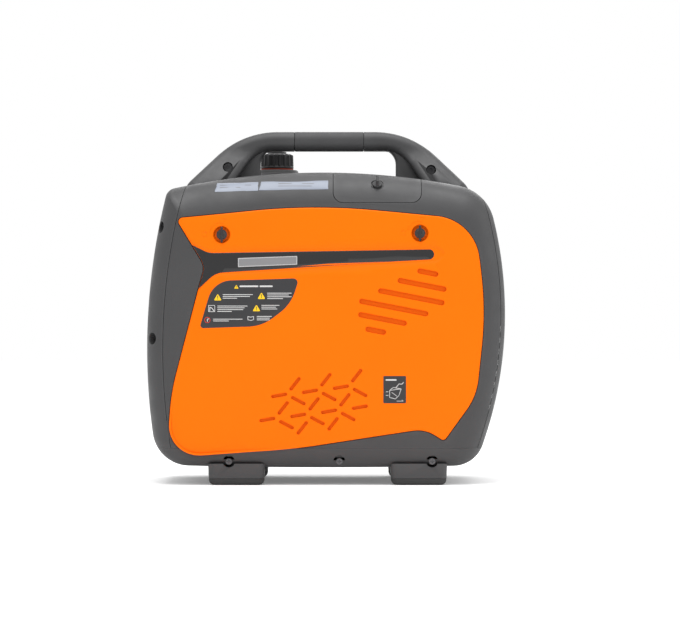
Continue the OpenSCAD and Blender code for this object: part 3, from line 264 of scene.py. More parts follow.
def combine(obj, cutter, how="DIFFERENCE", keep_cutter=False):
    """Boolean of two objects, applied to the first."""
    mod = obj.modifiers.new("cut", "BOOLEAN")
    mod.operation = how
    mod.solver = "MANIFOLD"
    mod.object = cutter
    graph = bpy.context.evaluated_depsgraph_get()
    mesh = bpy.data.meshes.new_from_object(obj.evaluated_get(graph))
    obj.modifiers.clear()
    obj.data = mesh
    if not keep_cutter:
        bpy.data.objects.remove(cutter)
    return obj


def prism(loop, axis, low, high):
    """An extruded outline: axis "y" reads the loop as (x, z), "x" as (y, z), "z" as (x, y)."""
    def at(p, t):
        return {"y": (p[0], t, p[1]), "x": (t, p[0], p[1]), "z": (p[0], p[1], t)}[axis]
    n = len(loop)
    verts = [at(p, low) for p in loop] + [at(p, high) for p in loop]
    faces = [(i, (i + 1) % n, n + (i + 1) % n, n + i) for i in range(n)]
    faces += [tuple(range(n))[::-1], tuple(range(n, 2 * n))]
    return mesh_object("prism", verts, faces, None)


def loop_at(loop, inset, hole, steps):
    """A loop moved into the plate by inset; corner lists keep their corners round."""
    if isinstance(loop, list):
        points = soft_outline(loop, -inset if hole else inset, steps)
        return points[::-1] if hole else points
    return offset_loop(loop[::-1] if hole else loop, inset)


def band(a, b):
    """Quads between two closed rings of vertex numbers."""
    return list(zip(a, b, b[1:] + b[:1], a[1:] + a[:1]))


def plate_top(tops, creases, spacing):
    """Triangles that fill the first loop around the others, with a grid of points inside."""
    low, high = tops[0].min(0), tops[0].max(0)
    xs = np.arange(low[0] + spacing / 2, high[0], spacing)
    ys = np.arange(low[1] + spacing / 2, high[1], spacing)
    grid = np.array([(x, y) for x in xs for y in ys]).reshape(-1, 2)
    for loop in tops + creases:
        if len(grid):
            grid = grid[distance_to(grid, loop) > spacing * 0.4]
    keep = inside(grid, tops[0]) if len(grid) else []
    grid = grid[keep] if len(grid) else grid
    points, links, starts = [], [], []
    for loop in tops + creases:
        start = len(points)
        starts.append(start)
        points += [tuple(p) for p in loop]
        links += [(start + i, start + (i + 1) % len(loop)) for i in range(len(loop))]
    points += [tuple(p) for p in grid]
    out, _, tris, origin, _, _ = delaunay_2d_cdt([Vector(p) for p in points], links, [], 0, 1e-5)
    flat = np.array([tuple(v) for v in out])
    where = {}
    for new, olds in enumerate(origin):
        for old in olds:
            where[old] = new
    middles = np.array([flat[list(t)].mean(0) for t in tris])
    keep = inside(middles, tops[0])
    for loop in tops[1:]:
        keep &= ~inside(middles, loop)
    rims = [[where[start + i] for i in range(len(loop))] for loop, start in zip(tops, starts)]
    return flat, [tuple(t) for t, k in zip(tris, keep) if k], rims


def plate(name, outer, holes, thickness, edge, place, look, hole_edge=None, spacing=12, steps=4,
          back_edge=0.0, corner_steps=8, creases=()):
    """A plate with rounded front edges, laid on a surface by place(u, v, depth)."""
    hole_edge = edge if hole_edge is None else hole_edge
    loops = [(outer, edge, False)] + [(h, hole_edge, True) for h in holes]
    tops = [loop_at(l, e, h, corner_steps) for l, e, h in loops]
    flat, tris, rims = plate_top(tops, list(creases), spacing)
    verts = [place(p[0], p[1], 0) for p in flat]
    faces = list(tris)
    base = len(verts)
    verts += [place(p[0], p[1], thickness) for p in flat]
    faces += [tuple(base + i for i in reversed(t)) for t in tris]
    for (loop, e, hole), rim in zip(loops, rims):
        previous = rim
        rings = [(e * (1 - math.sin(a)), e * (1 - math.cos(a)))
                 for a in np.linspace(0, math.pi / 2, steps + 1)[1:]]
        rings += [(0, thickness - back_edge)]
        if back_edge:
            rings += [(back_edge, thickness)]
        elif e:
            rings += [(0, thickness)]
        for inset, depth in rings:
            ring = loop_at(loop, inset, hole, corner_steps)
            first = len(verts)
            verts += [place(p[0], p[1], depth) for p in ring]
            current = list(range(first, first + len(rim)))
            faces += band(previous, current)
            previous = current
        faces += band(previous, [base + i for i in rim])
    return mesh_object(name, verts, faces, look)


def lathe(name, profile, place, look, steps=64, wave=None, closed=False):
    """Turns a profile of (radius, height) about an axis; wave(angle, radius, height) may move radii."""
    verts, faces, rings = [], [], []
    for r, h in profile:
        if r < 1e-6:
            rings.append([len(verts)] * steps)
            verts.append(place(0, 0, h))
            continue
        rings.append(list(range(len(verts), len(verts) + steps)))
        for i in range(steps):
            a = 2 * math.pi * i / steps
            q = wave(a, r, h) if wave else r
            verts.append(place(q * math.cos(a), q * math.sin(a), h))
    pairs = list(zip(rings, rings[1:])) + ([(rings[-1], rings[0])] if closed else [])
    for lower, upper in pairs:
        for i in range(steps):
            j = (i + 1) % steps
            faces.append(tuple(dict.fromkeys([lower[i], lower[j], upper[j], upper[i]])))
    return mesh_object(name, verts, faces, look)


def rounded_profile(radius, low, high, edge):
    """Profile of a disc from its axis at the bottom to its axis at the top, with a rounded top rim."""
    points = [(0, low), (radius, low)]
    for a in np.linspace(0, math.pi / 2, 6):
        points.append((radius - edge * (1 - math.cos(a)), high - edge * (1 - math.sin(a))))
    points.append((0, high))
    return points


# ---- the form of the case
def case_data(inset):
    """Vertices and faces of the rounded case, moved in by inset."""
    depth = BACK - inset
    shoulders = [max(s - inset, 12) for s in SHOULDERS]
    start, sides_of = bulged_outline([inset] * 4)
    n = len(start)
    low, high = np.floor(sides_of).astype(int) % 4, np.ceil(sides_of).astype(int) % 4
    part = sides_of - np.floor(sides_of)
    radius = np.array(shoulders)[low] * (1 - part) + np.array(shoulders)[high] * part
    fold = [(a, bulged_outline([inset + s * (1 - math.cos(a)) for s in shoulders])[0])
            for a in np.linspace(0, math.pi / 2, 11)]
    rim = fold[-1][1]
    centre = np.array([0, MIDDLE_Z])

    def sag(p):
        across = p[:, 0] ** 2 / 8000
        up = (p[:, 1] - MIDDLE_Z) ** 2 / 5000
        return (across ** 3 + up ** 3) ** (1 / 3)

    rings = []
    for a, loop in fold:
        rings.append((loop, depth - sag(rim) - radius * (1 - math.sin(a))))
    for s in np.linspace(1, 0.04, 16)[1:]:
        loop = centre + (rim - centre) * s
        rings.append((loop, depth - sag(loop)))
    verts, faces = [], []
    order = [(l, -y) for l, y in rings[::-1]]
    for loop, y in order:
        verts += [(p[0], t, p[1]) for p, t in zip(loop, y)]
    front_wall = order[-1]
    for k in range(1, 8):
        f = k / 8
        verts += [(p[0], t * (1 - 2 * f), p[1]) for p, t in zip(front_wall[0], front_wall[1])]
    for loop, y in rings:
        verts += [(p[0], t, p[1]) for p, t in zip(loop, y)]
    count = len(verts) // n
    for r in range(count - 1):
        faces += band(list(range(r * n, r * n + n)), list(range(r * n + n, r * n + 2 * n)))
    verts += [(0, -depth, MIDDLE_Z), (0, depth, MIDDLE_Z)]
    for i in range(n):
        j = (i + 1) % n
        faces.append((len(verts) - 2, i, j))
        faces.append((len(verts) - 1, (count - 1) * n + j, (count - 1) * n + i))
    return verts, faces


OUTER = case_data(0)
INNER = case_data(WALL)
OUTER_TREE = BVHTree.FromPolygons([Vector(v) for v in OUTER[0]], OUTER[1])


def hit(origin, direction):
    """Where a ray meets the case, or None."""
    return OUTER_TREE.ray_cast(Vector(origin), Vector(direction))[0]


def on_front(proud=0.0):
    """Lays (x, z) on the maintenance side; depth goes into the case."""
    def place(u, v, d):
        p = hit((u, FRONT - 50, v), (0, 1, 0))
        y = p.y if p else FRONT + 30
        return (u, y - proud + d, v)
    return place


def end_x(side, y, z):
    """Where an end of the case lies at (y, z): side -1 is the control end, 1 the exhaust end."""
    return hit((side * (RIGHT + 50), y, z), (-side, 0, 0)).x


def on_shoulder_skin(proud=0.0):
    """Lays (x, z) on the front, and moves along the surface's own normal."""
    def place(u, v, d):
        p, n = OUTER_TREE.ray_cast(Vector((u, FRONT - 50, v)), Vector((0, 1, 0)))[:2]
        return tuple(p + n * (proud - d) * (1 if n.y < 0 else -1))
    return place


def case_hollow():
    """The case wall as one closed skin with a hollow inside."""
    n = len(OUTER[0])
    verts = OUTER[0] + INNER[0]
    faces = OUTER[1] + [tuple(n + i for i in f[::-1]) for f in INNER[1]]
    mesh = bpy.data.meshes.new("hollow")
    mesh.from_pydata([tuple(c * MM for c in v) for v in verts], [], faces)
    obj = bpy.data.objects.new("hollow", mesh)
    bpy.context.collection.objects.link(obj)
    return obj


def case_solid(inset=0.0):
    verts, faces = case_data(inset) if inset else OUTER
    return mesh_object("solid", verts, faces, None)


# ---- materials
def material(name, color, rough, grain, bump, mottle, metal=0.0, coat=0.0, spread=0.08, specular=0.3,
             streak=False, wear=0.0, edge=0.7):
    """A procedural surface: mottled colour, uneven roughness, and moulded or cast grain."""
    m = bpy.data.materials.new(name)
    m.use_nodes = True
    nodes, links = m.node_tree.nodes, m.node_tree.links
    shader = nodes["Principled BSDF"]
    shader.inputs["Metallic"].default_value = metal
    shader.inputs["Specular IOR Level"].default_value = specular
    shader.inputs["Coat Weight"].default_value = coat
    shader.inputs["Coat Roughness"].default_value = 0.08

    def add(kind, **values):
        """A new node with its inputs set; their names have underscores for spaces."""
        node = nodes.new("ShaderNode" + kind)
        for socket, value in values.items():
            node.inputs[socket.replace("_", " ")].default_value = value
        return node

    def noise(scale, detail):
        t = add("TexNoise", Scale=scale, Detail=detail, Roughness=0.55)
        links.new(stretch.outputs["Vector"], t.inputs["Vector"])
        return t.outputs["Fac"]

    def ranged(source, low, high):
        r = add("MapRange", To_Min=low, To_Max=high, From_Min=0.3, From_Max=0.7)
        links.new(source, r.inputs["Value"])
        return r.outputs[0]

    def mix(factor):
        node = add("Mix")
        node.data_type = "RGBA"
        links.new(factor, node.inputs["Factor"])
        return node

    stretch = add("Mapping", Scale=(1, 1, 14) if streak else (1, 1, 1))
    links.new(add("TexCoord").outputs["Object"], stretch.inputs["Vector"])
    grains = noise(grain, 2.0)
    both = add("Math")
    both.operation = "ADD"
    links.new(ranged(noise(9.0, 4.0), 0.0, 0.6), both.inputs[0])
    links.new(ranged(grains, 0.0, 0.4), both.inputs[1])
    mottled = mix(both.outputs[0])
    mottled.inputs["A"].default_value = [c * (1 - mottle) for c in color[:3]] + [1]
    mottled.inputs["B"].default_value = [min(c * (1 + mottle), 1) for c in color[:3]] + [1]
    base = mottled.outputs["Result"]
    if wear:
        worn = add("MapRange", From_Min=0.53, From_Max=0.62, To_Max=wear)
        links.new(add("NewGeometry").outputs["Pointiness"], worn.inputs["Value"])
        scuffed = mix(worn.outputs[0])
        scuffed.inputs["B"].default_value = [min(c * 1.7 + 0.03, 1) for c in color[:3]] + [1]
        links.new(base, scuffed.inputs["A"])
        base = scuffed.outputs["Result"]
    links.new(base, shader.inputs["Base Color"])
    links.new(ranged(noise(38.0, 5.0), rough - spread, rough + spread), shader.inputs["Roughness"])
    bumper = add("Bump", Strength=bump, Distance=0.0004)
    links.new(grains, bumper.inputs["Height"])
    if edge:
        rounded = add("Bevel", Radius=edge * MM)
        rounded.samples = 4
        links.new(rounded.outputs["Normal"], bumper.inputs["Normal"])
    links.new(bumper.outputs["Normal"], shader.inputs["Normal"])
    return m


def srgb(r, g, b):
    return [((c / 255 + 0.055) / 1.055) ** 2.4 if c > 10 else c / 255 / 12.92 for c in (r, g, b)]


# Colour, roughness, grain, bump, mottle, and what else a surface sets
SURFACES = {
    "case_plastic": ((54, 54, 55), 0.5, 700, 0.35, 0.09, dict(specular=0.4, wear=0.35, edge=1.2)),
    "orange_plastic": ((238, 103, 0), 0.4, 800, 0.10, 0.03, dict(spread=0.04, specular=0.07)),
    "gloss_black": ((24, 24, 25), 0.12, 400, 0.01, 0.1, dict(coat=0.3, spread=0.03)),
    "silver_badge": ((118, 118, 120), 0.35, 1500, 0.1, 0.06, dict(streak=True, edge=0.2)),
    "label_film": ((46, 46, 48), 0.4, 600, 0.04, 0.06, dict(edge=0)),
    "sticker_film": ((128, 134, 146), 0.34, 900, 0.05, 0.05, dict(edge=0)),
    "knob_plastic": ((40, 40, 41), 0.42, 800, 0.2, 0.12, dict(wear=0.4)),
    "soft_grip": ((64, 64, 65), 0.62, 1100, 0.5, 0.1, dict(edge=1.2)),
    "rubber": ((52, 52, 52), 0.7, 500, 0.4, 0.15, {}),
    "red_rubber": ((150, 60, 42), 0.7, 500, 0.2, 0.1, {}),
    "tank_plastic": ((36, 36, 36), 0.5, 500, 0.2, 0.1, {}),
    "panel_plastic": ((38, 38, 40), 0.38, 900, 0.15, 0.08, {}),
    "red_plastic": ((176, 36, 28), 0.35, 800, 0.05, 0.06, {}),
    "green_lens": ((90, 180, 95), 0.15, 300, 0.02, 0.05, dict(coat=0.8)),
    "rope_cord": ((190, 190, 180), 0.8, 2500, 0.8, 0.25, {}),
    "zinc_steel": ((196, 194, 184), 0.3, 700, 0.1, 0.1, dict(metal=1.0)),
    "black_steel": ((84, 84, 86), 0.4, 700, 0.1, 0.12, dict(metal=0.4)),
    "bright_steel": ((190, 190, 190), 0.28, 1200, 0.1, 0.08, dict(metal=1.0, streak=True)),
    "cast_alloy": ((186, 186, 186), 0.5, 420, 0.5, 0.12, dict(metal=0.9)),
    "copper_winding": ((196, 112, 60), 0.35, 1500, 0.5, 0.2, dict(metal=0.9, streak=True)),
    "plug_ceramic": ((226, 226, 220), 0.2, 300, 0.02, 0.04, dict(coat=0.5)),
    "heat_steel": ((120, 110, 100), 0.5, 200, 0.3, 0.3, dict(metal=0.9)),
    "yellow_ink": ((226, 184, 20), 0.45, 600, 0.02, 0.04, dict(edge=0)),
    "white_ink": ((190, 190, 190), 0.45, 600, 0.02, 0.04, dict(edge=0)),
    "red_ink": ((186, 44, 34), 0.45, 600, 0.02, 0.04, dict(edge=0)),
    "grey_ink": ((104, 104, 106), 0.45, 600, 0.02, 0.04, dict(edge=0)),
    # Darker orange for the slot floors and knob recesses: painted shade, standing in for the shadow inside
    # them
    "orange_painted_shade": ((208, 86, 0), 0.45, 800, 0.1, 0.03, dict(specular=0.07)),
}
MATS = {name: material(name, srgb(*row[0]), *row[1:5], **row[5]) for name, row in SURFACES.items()}
SLOT_OF = {s["node"]: s["material_slot"] for s in frame["record"]["subparts"]}


def paint(obj, look):
    obj.data.materials.clear()
    obj.data.materials.append(MATS[look])


def finish_piece(obj, body, *nodes):
    """Rides a piece on its body and lets it stand for its CAD nodes."""
    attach(obj, body)
    if nodes:
        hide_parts(*nodes)
    return obj


def rename(obj, name):
    obj.name = name
    obj.data.name = name
    return obj


def weighted(obj):
    mod = obj.modifiers.new("weighted", "WEIGHTED_NORMAL")
    mod.keep_sharp = True
    mod.weight = 50
    return obj


# ---- shells
def groove_x(groove, z, side):
    cx, cz, r = groove
    return cx + side * math.sqrt(r * r - (z - cz) ** 2)


def region(left, right, low, high, front, back):
    """A block whose left and right faces may follow the end grooves."""
    zs = np.linspace(low, high, 61)
    rights = [groove_x(RIGHT_GROOVE, z, 1) + right[1] if right[0] else right[1] for z in zs]
    lefts = [groove_x(LEFT_GROOVE, z, -1) + left[1] if left[0] else left[1] for z in zs]
    loop = list(zip(rights, zs)) + list(zip(lefts[::-1], zs[::-1]))
    return prism(np.array(loop), "y", front, back)


COVER = [
    (LEFT + 42, TOP - 66, 6), (LEFT + 82.5, TOP - 133, 22), (LEFT + 73, TOP - 167, 60),
    (LEFT + 36, BOTTOM + 106, 300), (LEFT + 29, BOTTOM + 14.2, 42), (LEFT + 207, BOTTOM + 27, 900),
    (RIGHT - 114, BOTTOM + 55, 45), (RIGHT - 87, BOTTOM + 38, 5), (RIGHT - 41.5, BOTTOM + 101, 90),
    (RIGHT - 29, TOP - 194, 450), (RIGHT - 44, TOP - 68, 66), (-15, TOP - 47, 900),
]
PANEL_X = RIGHT - 180
SCREWS = [LEFT + 116, 18.6, RIGHT - 103.5]
SCREW_Z = BOTTOM + 9.5


def plug_panel_cutter(grow):
    face = prism(rounded_box(123 + 2 * grow, 80 + 2 * grow, 14, PANEL_X, TOP - 4), "y",
                 FRONT - 9, 0)
    top = prism(rounded_box(123 + 2 * grow, 156 + 2 * grow, 14, PANEL_X, FRONT), "z", 0,
                TOP + 60)
    return combine(face, top, "INTERSECT")


def shell(name, cutter):
    return rename(combine(case_hollow(), cutter, "INTERSECT"), name)


def cylinder(x, z, r, low, high, axis="y"):
    return prism(circle(r, x, z), axis, low, high)


def finished_shell(obj, body, *nodes):
    paint(obj, SLOT_OF[nodes[0]])
    for p in obj.data.polygons:
        p.material_index = 0
    tidy(obj, merge=0.01)
    weighted(obj)
    return finish_piece(obj, body, *nodes)


def front_shell():
    obj = shell("front_shell_skin", region((True, SEAM / 2), (True, -SEAM / 2), TRAY_TOP + TRAY_SEAM,
                                           TOP + 20, FRONT - 20, -SEAM / 2))
    combine(obj, prism(soft_outline(COVER, -COVER_GAP), "y", FRONT - 20, FRONT + 30))
    combine(obj, plug_panel_cutter(0.6))
    ledge = plate("ledge", soft_outline(COVER, -3.2), [soft_outline(COVER, 12)], 3, 0.4,
                  lambda u, v, d: (u, FRONT + 9 + d, v), "case_plastic", spacing=30)
    rim = plate("rim", soft_outline(COVER, -3.4), [soft_outline(COVER, -COVER_GAP)], 7, 0.3,
                lambda u, v, d: (u, on_front()(u, v, 0)[1] + 2 + d, v), "case_plastic", spacing=30)
    return finished_shell(joined("front_shell_skin", [obj, ledge, rim]), "generator", "front_shell")


def back_vents():
    cx, cz = RIGHT - 157, 130
    loops = []
    for ring in range(3):
        radius, count = 34 + 16 * ring, 8 + 6 * ring
        length = 2 * math.pi * radius / count - 8
        for i in range(count):
            a = 2 * math.pi * i / count + math.radians(12 * ring)
            loops.append(turned_slot(cx + radius * math.sin(a), cz + radius * math.cos(a), length, 5,
                                     -math.degrees(a)))
    return loops


ROPE_X, ROPE_Z = LEFT + 162, TOP - 141
CAP_LOW, CAP_HIGH = box_mm("fuel_cap")
CAP_X, CAP_Y = (CAP_LOW.x + CAP_HIGH.x) / 2, (CAP_LOW.y + CAP_HIGH.y) / 2


def back_shell():
    obj = shell("back_shell_skin", region((True, SEAM / 2), (True, -SEAM / 2), TRAY_TOP + TRAY_SEAM,
                                          TOP + 20, SEAM / 2, BACK + 20))
    for loop in back_vents():
        combine(obj, prism(loop, "y", BACK - 30, BACK + 20))
    pocket = rounded_box(120, 48, 16, ROPE_X, ROPE_Z)
    combine(obj, prism(pocket, "y", BACK - 20, BACK + 20))
    floor = BACK - 28
    cup = plate("pocket", rounded_box(126, 54, 19, ROPE_X, ROPE_Z), [pocket], 27, 0.6,
                lambda u, v, d: (u, BACK - 1.6 - d, v), "case_plastic", spacing=30)
    bottom = plate("pocket_floor", rounded_box(126, 54, 19, ROPE_X, ROPE_Z),
                   [circle(9.2, ROPE_X, ROPE_Z)], 3, 0.4, lambda u, v, d: (u, floor - d, v), "case_plastic",
                   spacing=30)
    combine(obj, cylinder(CAP_X, CAP_Y, 19.5, TOP - 30, TOP + 30, "z"))
    return finished_shell(joined("back_shell_skin", [obj, cup, bottom]), "generator", "back_shell")


PANEL_FACE = box_mm("control_panel")[0].x
PANEL_Z = BOTTOM + 213
PANEL = box_corners(188, 214, 14, 0, PANEL_Z)


def corner_screws():
    """Seat and direction of each screw in the upright corners of the control end."""
    for side in (-1, 1):
        for z in (BOTTOM + 181, TOP - 78):
            turn = math.radians(180 - side * 30)
            out = Vector((math.cos(turn), math.sin(turn), 0))
            far = Vector((LEFT + 38, side * (BACK - 38), z)) + out * 90
            yield hit(tuple(far), tuple(-out)) - out * 11, out


def aimed(centre, direction):
    """Places (u, v, height) with height along direction."""
    across = direction.cross(Vector((0, 0, 1)))
    if across.length < 0.1:
        across = Vector((1, 0, 0))
    across.normalize()
    up = across.cross(direction)

    def place(u, v, h):
        return tuple(centre + across * u + up * v + direction * h)
    return place


def tray_screws():
    """Seat and direction of each screw along the sides of the tray."""
    return [(Vector((x, side * (BACK - 14), SCREW_Z)), Vector((0, side, 0)))
            for side in (-1, 1) for x in SCREWS]


def exhaust_screws():
    """Seat and direction of each screw in the exhaust end."""
    return [(Vector((RIGHT - 26, y, z)), Vector((1, 0, 0)))
            for y in (FRONT + 52, BACK - 52) for z in (BOTTOM + 70, TOP - 62)]


def screw_recesses(obj, seats):
    """Bores a recess at each seat, and gives the bosses around them, cut to just under the skin."""
    cups = []
    for centre, direction in seats:
        place = aimed(centre, direction)
        bore = lathe("bore", [(0, 0), (BORE, 0), (BORE + 0.8, 40), (0, 40)], place, None, 40)
        combine(obj, bore)
        cup = lathe("cup", [(3, -3), (CUP + 1.8, -3), (CUP + 1.8, 30), (CUP, 30), (CUP, 0), (3, 0)], place,
                    None, 40, closed=True)
        cups.append(combine(cup, INNER_SOLID, "INTERSECT", keep_cutter=True))
    return cups


INNER_SOLID = case_solid(0.5)
BORE, CUP = 8.4, 8.2


def control_end_cover():
    obj = shell("control_end_skin", region((False, LEFT - 20), (False, LEFT + 120), TRAY_TOP + TRAY_SEAM,
                                           TOP + 20, FRONT - 20, BACK + 20))
    middle = region((True, -SEAM / 2), (False, LEFT + 140), 0, TOP + 60, FRONT - 30, BACK + 30)
    combine(obj, middle)
    combine(obj, prism(soft_outline(COVER, -COVER_GAP), "y", FRONT - 20, FRONT + 9))
    combine(obj, prism(soft_outline(PANEL), "x", LEFT - 20, LEFT + 30))
    frame_ring = plate("panel_frame", soft_outline(PANEL, -3), [soft_outline(PANEL)], 1, 0.3,
                       lambda u, v, d: (PANEL_FACE - 0.4 if d else end_x(-1, u, v) + 1.2, u, v),
                       "case_plastic", spacing=30)
    cups = screw_recesses(obj, corner_screws())
    return finished_shell(joined("control_end_skin", [obj, frame_ring] + cups), "generator",
                          "control_end_cover")


LOUVRES = [BOTTOM + 66 + 16 * i for i in range(9)]
PIPE_Y, PIPE_Z = -44, BOTTOM + 236


def exhaust_end_cover():
    obj = shell("exhaust_end_skin", region((False, RIGHT - 120), (False, RIGHT + 20), TRAY_TOP + TRAY_SEAM,
                                           TOP + 20, FRONT - 20, BACK + 20))
    middle = region((False, RIGHT - 140), (True, SEAM / 2), 0, TOP + 60, FRONT - 30, BACK + 30)
    combine(obj, middle)
    extra = []
    for z in LOUVRES:
        combine(obj, prism(rounded_box(150, 8, 3.9, 0, z), "x", RIGHT - 30, RIGHT + 20))

        def slat(u, v, d, z=z):
            return (end_x(1, 0, z) - 7.5 + v * 0.75 - d * 0.6, u, z + 2.5 - v * 0.6 + d * 0.8)
        extra.append(plate("blade", box_corners(150, 11, 0.8), [], 1.8, 0.5, slat, None, spacing=40))
    combine(obj, cylinder(PIPE_Y, PIPE_Z, 18, RIGHT - 30, RIGHT + 20, "x"))
    ring = lathe("pipe_ring", [(18.2, 0.3), (19.5, 1.4), (21.5, 1.6), (22.5, 0.4), (22.5, -2), (18.2, -8)],
                 lambda u, v, h: (end_x(1, PIPE_Y + u, PIPE_Z + v) + h, PIPE_Y + u, PIPE_Z + v), None,
                 48, closed=True)
    extra.append(ring)
    extra += screw_recesses(obj, exhaust_screws())
    return finished_shell(joined("exhaust_end_skin", [obj] + extra), "generator", "exhaust_end_cover")


def base_tray():
    obj = shell("base_tray_skin", prism(rounded_box(560, 400, 1), "z", 0,
                                        TRAY_TOP - TRAY_SEAM))
    cups = screw_recesses(obj, tray_screws())
    return finished_shell(joined("base_tray_skin", [obj] + cups), "generator", "base_tray")


# ---- handle
LEG_LEFT, LEG_RIGHT = LEFT + 52, RIGHT - 50
OPEN_LEFT, OPEN_RIGHT = LEFT + 157, RIGHT - 152
HALF_GRIP = (GRIP_HIGH.y - GRIP_LOW.y) / 2
LEG_SPREAD = box_mm("handle_rear_half")[1].y
ARCH = [
    (LEG_LEFT - 14, TOP - 44, 14), (OPEN_LEFT - 58, TOP - 44, 14), (OPEN_LEFT - 6, HANDLE_UNDER, 45),
    (OPEN_RIGHT + 7, HANDLE_UNDER, 45), (OPEN_RIGHT + 58, TOP - 44, 14), (LEG_RIGHT + 14, TOP - 44, 14),
    (LEG_RIGHT - 2.5, TOP - 15, 40), (LEG_RIGHT - 80, HANDLE_TOP, 125), (LEG_LEFT + 78, HANDLE_TOP, 125),
    (LEG_LEFT + 2.5, TOP - 13, 40),
]
WEB = [
    (LEG_LEFT + 5, TOP - 40, 8), (OPEN_LEFT, TOP - 40, 8), (OPEN_LEFT, HANDLE_UNDER + 3, 22),
    (OPEN_RIGHT, HANDLE_UNDER + 3, 22), (OPEN_RIGHT, TOP - 40, 8), (LEG_RIGHT - 5, TOP - 40, 8),
    (LEG_RIGHT - 88, HANDLE_TOP - 8, 118), (LEG_LEFT + 86, HANDLE_TOP - 8, 118),
]
BOLTS = [(LEG_LEFT + 59, TOP + 10.5), (LEG_RIGHT - 52, TOP + 6.5)]


def smooth_step(t):
    t = min(max(t, 0), 1)
    return t * t * (3 - 2 * t)


def arch_half(name, side):
    """One half of the handle, split along its middle plane."""
    edge = 11.5
    splay = LEG_SPREAD - HALF_GRIP - 3

    def place(u, v, d):
        y = HALF_GRIP - d
        flare = splay * (1 - smooth_step((v - TOP + 18) / (HANDLE_UNDER - TOP + 22)))
        y += flare * min(max(y / (HALF_GRIP - edge), 0), 1)
        return (u, side * y, v)
    arch = plate("arch", ARCH, [], HALF_GRIP - 0.12, edge, place, "case_plastic", spacing=9, steps=9,
                 corner_steps=14)
    web = plate("web", WEB, [], 13 - 0.12, 4, lambda u, v, d: (u, side * (13 - d), v), "case_plastic",
                spacing=16, steps=4, corner_steps=10)
    combine(arch, web, "UNION")
    gap = prism(rounded_box(GRIP_HIGH.x - GRIP_LOW.x, 60, 1, (GRIP_LOW.x + GRIP_HIGH.x) / 2,
                                         HANDLE_UNDER), "y", -60, 60)
    combine(arch, gap)
    combine(arch, case_solid())
    for x, z in BOLTS:
        combine(arch, cylinder(x, z, 7, *sorted((side * 17, side * 90))))
    return rename(arch, name)


def handle():
    front = arch_half("handle_front", -1)
    back = arch_half("handle_back", 1)
    finished_shell(front, "generator", "handle_front_half")
    finished_shell(back, "generator", "handle_rear_half")
    middle = (GRIP_LOW.x + GRIP_HIGH.x) / 2
    half = (GRIP_HIGH.x - GRIP_LOW.x) / 2 - 0.25
    high = HANDLE_TOP - HANDLE_UNDER
    rings = [(-half, 1.2), (-half + 0.4, 0.5), (-half + 1.4, 0.0)]
    rings += [(x, 0.0) for x in np.linspace(-half + 6, half - 6, 18)]
    rings += [(half - 1.4, 0.0), (half - 0.4, 0.5), (half, 1.2)]
    verts, faces = [], []
    for x, inset in rings:
        loop = soft_outline(box_corners(2 * HALF_GRIP, high, 11.4, 0, (HANDLE_TOP + HANDLE_UNDER) / 2),
                            inset, 10)
        n = len(loop)
        verts += [(middle + x, p[0], p[1]) for p in loop]
    for r in range(len(rings) - 1):
        faces += [(r * n + i, r * n + (i + 1) % n, (r + 1) * n + (i + 1) % n, (r + 1) * n + i)
                  for i in range(n)]
    faces += [tuple(range(n)), tuple(range((len(rings) - 1) * n, len(rings) * n))[::-1]]
    grip = mesh_object("handle_soft_grip", verts, faces, "soft_grip")
    finish_piece(grip, "generator", "handle_grip")


# ---- cover
KNOBS = [(LEFT + 106.5, TOP - 89), (RIGHT - 120.7, TOP - 87)]
INTAKES = [(142, 297.1, 22.2), (134, 280, 61.8), (119, 263.4, 86.7), (94.5, 248.4, 90.6),
           (78.8, 232.4, 61.3), (69.3, 216.1, 21.7)]
ROW, COLUMN, FIRST_SLOT = np.array([43, 5.7]), np.array([-16.5, -33.6]), np.array([-65.2, 125.9])
FAMILIES = [((0, 0), 10, ((0, 2), (0, 3))), ((22.1, 16.1), 52, ((0, 2), (0, 2), (1, 2))),
            ((26.7, -7.3), -28, ((0, 2), (0, 2)))]
ACCENT = [
    (LEFT + 50, TOP - 96, 1), (LEFT + 66, TOP - 172, 1), (LEFT + 98, TOP - 142.5, 30),
    (RIGHT - 106, TOP - 123.5, 4), (RIGHT - 94, TOP - 116, 7), (RIGHT - 106, TOP - 109.5, 5),
    (LEFT + 88, TOP - 114.5, 30),
]
CHANNEL = [
    (LEFT + 50, TOP - 90, 1), (LEFT + 66, TOP - 178, 1), (LEFT + 99, TOP - 147.5, 30),
    (RIGHT - 96, TOP - 129, 9), (RIGHT - 78, TOP - 114, 9), (RIGHT - 96, TOP - 104, 9),
    (LEFT + 88, TOP - 109, 30),
]
CHANNEL_DEPTH, SLOT_DEPTH = 1.5, 3.0
BADGE = [(LEFT + 129, TOP - 134.5, 0.6), (LEFT + 212, TOP - 131, 0.6), (LEFT + 212, TOP - 118.5, 0.6),
         (LEFT + 129, TOP - 121.5, 0.6)]


def cover_slots():
    loops = [turned_slot(x, z, length + 7.4, 7.4, -11) for x, z, length in INTAKES]
    for offset, angle, columns in FAMILIES:
        for j, (first, last) in enumerate(columns):
            for i in range(first, last + 1):
                x, z = FIRST_SLOT + np.array(offset) + i * ROW + j * COLUMN
                loops.append(turned_slot(x, z, 22.5, 4.8, angle))
    return loops


def recess_dish(x, z):
    """The sunk seat around a cover knob: a sloped wall and a floor with the shaft's hole, in a darker orange
    as painted shade.
    """
    face = on_cover()(x, z, 0)[1]
    profile = [(12.3, 0.9), (11.2, 1.6), (10.4, 3.6), (9.6, 4.4), (5.2, 4.5), (5.2, 6), (12.6, 6)]
    return lathe("dish", profile, lambda u, v, h: (x + u, face + h, z + v), "orange_painted_shade", 48,
                 closed=True)


CHANNEL_LOOP = soft_outline(CHANNEL, 0, 8)


